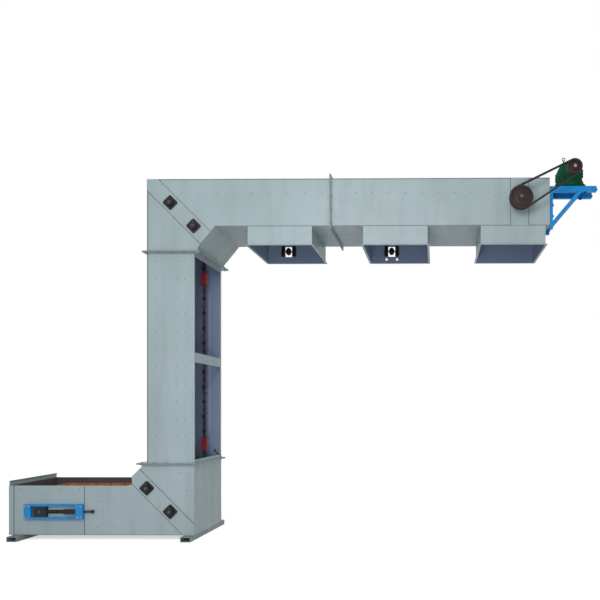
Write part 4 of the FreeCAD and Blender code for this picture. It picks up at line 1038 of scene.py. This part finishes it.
def output_shaft():
    bm = bmesh.new()
    profile = [(0.0, 0), (0.022, 0), (0.022, 0.006), (0.015, 0.008), (0.015, 0.184), (0, 0.184)]
    add_turned(bm, profile, towards(FRONT, (DRIVE[0], GEAR_START + 0.002, DRIVE[1])), steps=28)
    make_piece("output_shaft", bm, shaft_steel)


def lifting_eye():
    """An eye on a stem, on top of the reducer."""
    bm = bmesh.new()
    foot = Vector((DRIVE[0] - 0.055, GEAR_START + 0.095, DRIVE[1] + GEAR_RADIUS - 0.020))
    eye = Matrix.Translation(foot + Vector((0, 0, 0.0625))) @ LAID_FORWARD
    ring_radius = 0.0145
    wire = [(ring_radius + across, up) for across, up in round_points(10, 0.0042)]
    add_turned(bm, wire, eye, steps=24, closed=True)
    stem = [(0, 0), (0.014, 0), (0.014, 0.014), (0.008, 0.018), (0.006, 0.050), (0, 0.050)]
    add_turned(bm, stem, Matrix.Translation(foot), steps=18)
    make_piece("lifting_eye", bm, bearing_black)


def gear_motor_bolts():
    """Bolts round both flanges of the reducer, and on its foot."""
    spots = []
    reach = GEAR_RADIUS - 0.005
    for i in range(GEAR_LUGS):
        angle = 2 * math.pi * (i + 0.5) / GEAR_LUGS
        px = DRIVE[0] - reach * math.sin(angle)
        pz = DRIVE[1] + reach * math.cos(angle)
        spots.append(((px, GEAR_START + 0.030, pz), FRONT))
        spots.append(((px, GEAR_START + 0.164, pz), BACK))
    black_bolts("gear_motor_bolts", spots, radius=0.0065)
    feet = []
    for dx in (-0.138, 0.138):
        for y in (GEAR_START + 0.036, GEAR_START + 0.150):
            feet.append(((DRIVE[0] + dx, y, GEAR_FOOT + 0.023), UP))
    black_bolts("gear_foot_bolts", feet, radius=0.011)


def fan_grille():
    """Rings over the end of the motor's fan cowl."""
    bm = bmesh.new()
    at = towards(BACK, (DRIVE[0], MOTOR_END - 0.0005, DRIVE[1]))
    thick = 0.0012
    for i in range(5):
        near = 0.014 + 0.012 * i
        far = near + 0.007
        add_turned(bm, [(near, 0), (far, 0), (far, thick), (near, thick)], at, steps=48, closed=True)
    make_piece("fan_grille", bm, bearing_black)


def bracket_bolts():
    """Bolts up each post of the bracket, on the ends of its beams and under them."""
    spots = []
    post_face = HEAD_X + 0.034
    beam_end = HEAD_X + 0.467
    strut_top = HEAD_X + 0.355
    beam_middle = 3.500
    beam_under = 3.475
    for y in (-0.348, -0.158):
        for z in (3.150, 3.235, 3.345, 3.440):
            spots.append(((post_face, y, z), RIGHT))
        spots.append(((beam_end, y, beam_middle), RIGHT))
        spots.append(((strut_top, y, beam_under), DOWN))
    black_bolts("bracket_bolts", spots, radius=0.012)


def tipper_cams():
    """Oval cams with a clamping nut, in front of the tipping rods of the first two outlets."""
    bm = bmesh.new()
    cam = [(0, -0.006), (0.031, -0.006), (0.031, 0.003), (0.028, 0.006), (0.015, 0.007), (0.013, 0.011),
           (0, 0.011)]
    z = 3.074
    cam_y = 0.3545
    nut_y = 0.344
    tall = 1.38
    for start in HOPPER_STARTS[:2]:
        x = start + HOPPER_LONG / 2 - 0.090
        oval = Matrix.Translation((x, cam_y, z)) @ LAID_FORWARD @ Matrix.Diagonal((1, tall, 1, 1))
        add_turned(bm, cam, oval, steps=40)
        add_hex_bolt(bm, (x, nut_y, z), FRONT, radius=0.008)
    make_piece("tipper_cams", bm, bearing_black)


# Take-up
TAKEUP_LONG = 0.590
TAKEUP_LEFT = TAIL[0] + 0.135 - TAKEUP_LONG / 2
TAKEUP_RIGHT = TAKEUP_LEFT + TAKEUP_LONG
TAKEUP_AXIS = HALF_WIDE + 0.017
TAKEUP_FACE = HALF_WIDE + 0.034
BLOCK_END = TAIL[0] + 0.067
NUT_START = TAKEUP_RIGHT - 0.192
THREAD_STEP = 0.003


def takeup_threads():
    """Threads on the screws, outside the frame and between bearing block and nut."""
    bm = bmesh.new()
    crest = 0.0112
    root = 0.0102
    core = 0.0101
    for side in (-1, 1):
        for start, end in ((TAKEUP_RIGHT + 0.001, TAKEUP_RIGHT + 0.079), (BLOCK_END, NUT_START)):
            profile = [(core, 0)]
            for i in range(int((end - start) / THREAD_STEP)):
                profile += [(crest, i * THREAD_STEP), (root, (i + 0.5) * THREAD_STEP)]
            profile.append((core, end - start))
            add_turned(bm, profile, towards(RIGHT, (start, side * TAKEUP_AXIS, TAIL[1])), steps=18)
    make_piece("takeup_threads", bm, rusty_steel)


def add_spring(bm, start, end_x, radius, wire, turns):
    """A coil spring along X, with a round wire."""
    steps = 16
    total = turns * steps
    rings = []
    for i in range(total + 1):
        angle = 2 * math.pi * i / steps
        out = Vector((0, math.cos(angle), math.sin(angle)))
        middle = Vector(start) + Vector(RIGHT) * (end_x - start[0]) * i / total + out * radius
        rings.append([bm.verts.new(middle + out * a + Vector(RIGHT) * b) for a, b in round_points(7, wire)])
    join_rings(bm, rings)
    cap_rings(bm, rings)


def takeup_springs():
    """A coil spring round each screw, from the bearing block to the nut."""
    bm = bmesh.new()
    for side in (-1, 1):
        start = (BLOCK_END - 0.001, side * TAKEUP_AXIS, TAIL[1])
        add_spring(bm, start, NUT_START + 0.001, radius=0.0155, wire=0.0028, turns=15)
    make_piece("takeup_springs", bm, bearing_black, smooth_angle=50)


def takeup_bolts():
    spots = []
    for side in (-1, 1):
        for x in (TAKEUP_LEFT + 0.018, TAKEUP_LEFT + 0.052, TAKEUP_RIGHT - 0.018, TAKEUP_RIGHT - 0.052):
            for z in (TAIL[1] - 0.055, TAIL[1] + 0.055):
                spots.append(((x, side * TAKEUP_FACE, z), (0, side, 0)))
    bolt_field("takeup_bolts", spots, radius=0.007)


# Stage and light
WHITE = (1, 1, 1, 1)
FLOOR_GREY = (0.5, 0.5, 0.5, 1)
FLOOR_PALE = (0.9, 0.9, 0.9, 1)
FLOOR_GLOW = 0.58
SKY = (0.95, 0.975, 1.0, 1)
SKY_STRENGTH = 0.54


def pick_for_seen(tree, plain, shown, output):
    """The plain shader lights the part; the camera, gloss and glass see the shown one."""
    path = add_node(tree, "ShaderNodeLightPath")
    seen = path.outputs["Is Camera Ray"]
    for kind in ("Is Glossy Ray", "Is Transmission Ray"):
        step = add_node(tree, "ShaderNodeMath", operation="MAXIMUM")
        tree.links.new(seen, step.inputs[0])
        tree.links.new(path.outputs[kind], step.inputs[1])
        seen = step.outputs[0]
    pick = add_node(tree, "ShaderNodeMixShader")
    tree.links.new(seen, pick.inputs[0])
    tree.links.new(plain.outputs[0], pick.inputs[1])
    tree.links.new(shown.outputs[0], pick.inputs[2])
    tree.links.new(pick.outputs[0], tree.nodes[output].inputs["Surface"])


def pale_floor():
    """A grey floor to the part, and a pale one with the part's shadow to the eye."""
    bpy.ops.mesh.primitive_plane_add(size=80, location=(1, 14, 0))
    floor = bpy.context.object
    floor.name = "floor"
    material, tree, shader = new_material("floor")
    shader.inputs["Base Color"].default_value = FLOOR_GREY
    shader.inputs["Roughness"].default_value = 0.85
    give(floor, material)
    pale = add_node(tree, "ShaderNodeBsdfDiffuse")
    pale.inputs["Color"].default_value = FLOOR_PALE
    glow = add_node(tree, "ShaderNodeEmission")
    glow.inputs["Color"].default_value = WHITE
    glow.inputs["Strength"].default_value = FLOOR_GLOW
    lit = add_node(tree, "ShaderNodeAddShader")
    tree.links.new(pale.outputs[0], lit.inputs[0])
    tree.links.new(glow.outputs[0], lit.inputs[1])
    pick_for_seen(tree, shader, lit, "Material Output")


def studio_world():
    world = bpy.data.worlds.new("studio")
    bpy.context.scene.world = world
    world.use_nodes = True
    tree = world.node_tree
    sky = tree.nodes["Background"]
    sky.inputs["Color"].default_value = SKY
    sky.inputs["Strength"].default_value = SKY_STRENGTH
    white = add_node(tree, "ShaderNodeBackground")
    white.inputs["Color"].default_value = WHITE
    white.inputs["Strength"].default_value = 1.0
    pick_for_seen(tree, sky, white, "World Output")


def lamp(name, place, target, energy, size):
    data = bpy.data.lights.new(name, "AREA")
    data.energy = energy
    data.size = size
    obj = new_object(name, data)
    obj.location = place
    obj.rotation_euler = (Vector(target) - Vector(place)).to_track_quat("-Z", "Y").to_euler()


# Camera, as fitted to the photograph: sizes on the image in pixels
IMAGE = 600
FOCAL = 605.07
CENTRE_X = 429.34
CENTRE_Y = 409.78
SENSOR = 36


def camera():
    """The photograph's view: nearly along +Y, with the frame moved left and up by lens shift."""
    data = bpy.data.cameras.new("camera")
    data.sensor_width = SENSOR
    data.lens = FOCAL / IMAGE * SENSOR
    data.shift_x = (IMAGE / 2 - CENTRE_X) / IMAGE
    data.shift_y = (CENTRE_Y - IMAGE / 2) / IMAGE
    obj = new_object("camera", data)
    obj.location = (2.4642, -6.3997, 1.3043)
    obj.rotation_euler = (math.radians(90), 0, 0.0109)
    bpy.context.scene.camera = obj


camera()
pale_floor()
studio_world()
lamp("key", place=(0.9, -6.6, 4.4), target=(0.7, 0, 2.8), energy=192, size=3.0)
lamp("low fill", place=(1.9, -4.5, 0.3), target=(2.0, 0, 3.1), energy=82, size=2.0)
dress_nodes()
casing_screws()
flange_bolts()
bearing_bolts()
strip_screws()
seams()
flange_gaskets()
rail_angles()
guide_rails()
window_stay()
chains()
buckets()
pulley("head_pulley", HEAD, HEAD_PULLEY)
pulley("drive_pulley", DRIVE, DRIVE_PULLEY)
vee_belts()
shaft_ends()
gear_motor()
output_shaft()
lifting_eye()
gear_motor_bolts()
fan_grille()
bracket_bolts()
tipper_cams()
takeup_threads()
takeup_springs()
takeup_bolts()
bpy.context.scene.view_settings.view_transform = "Standard"
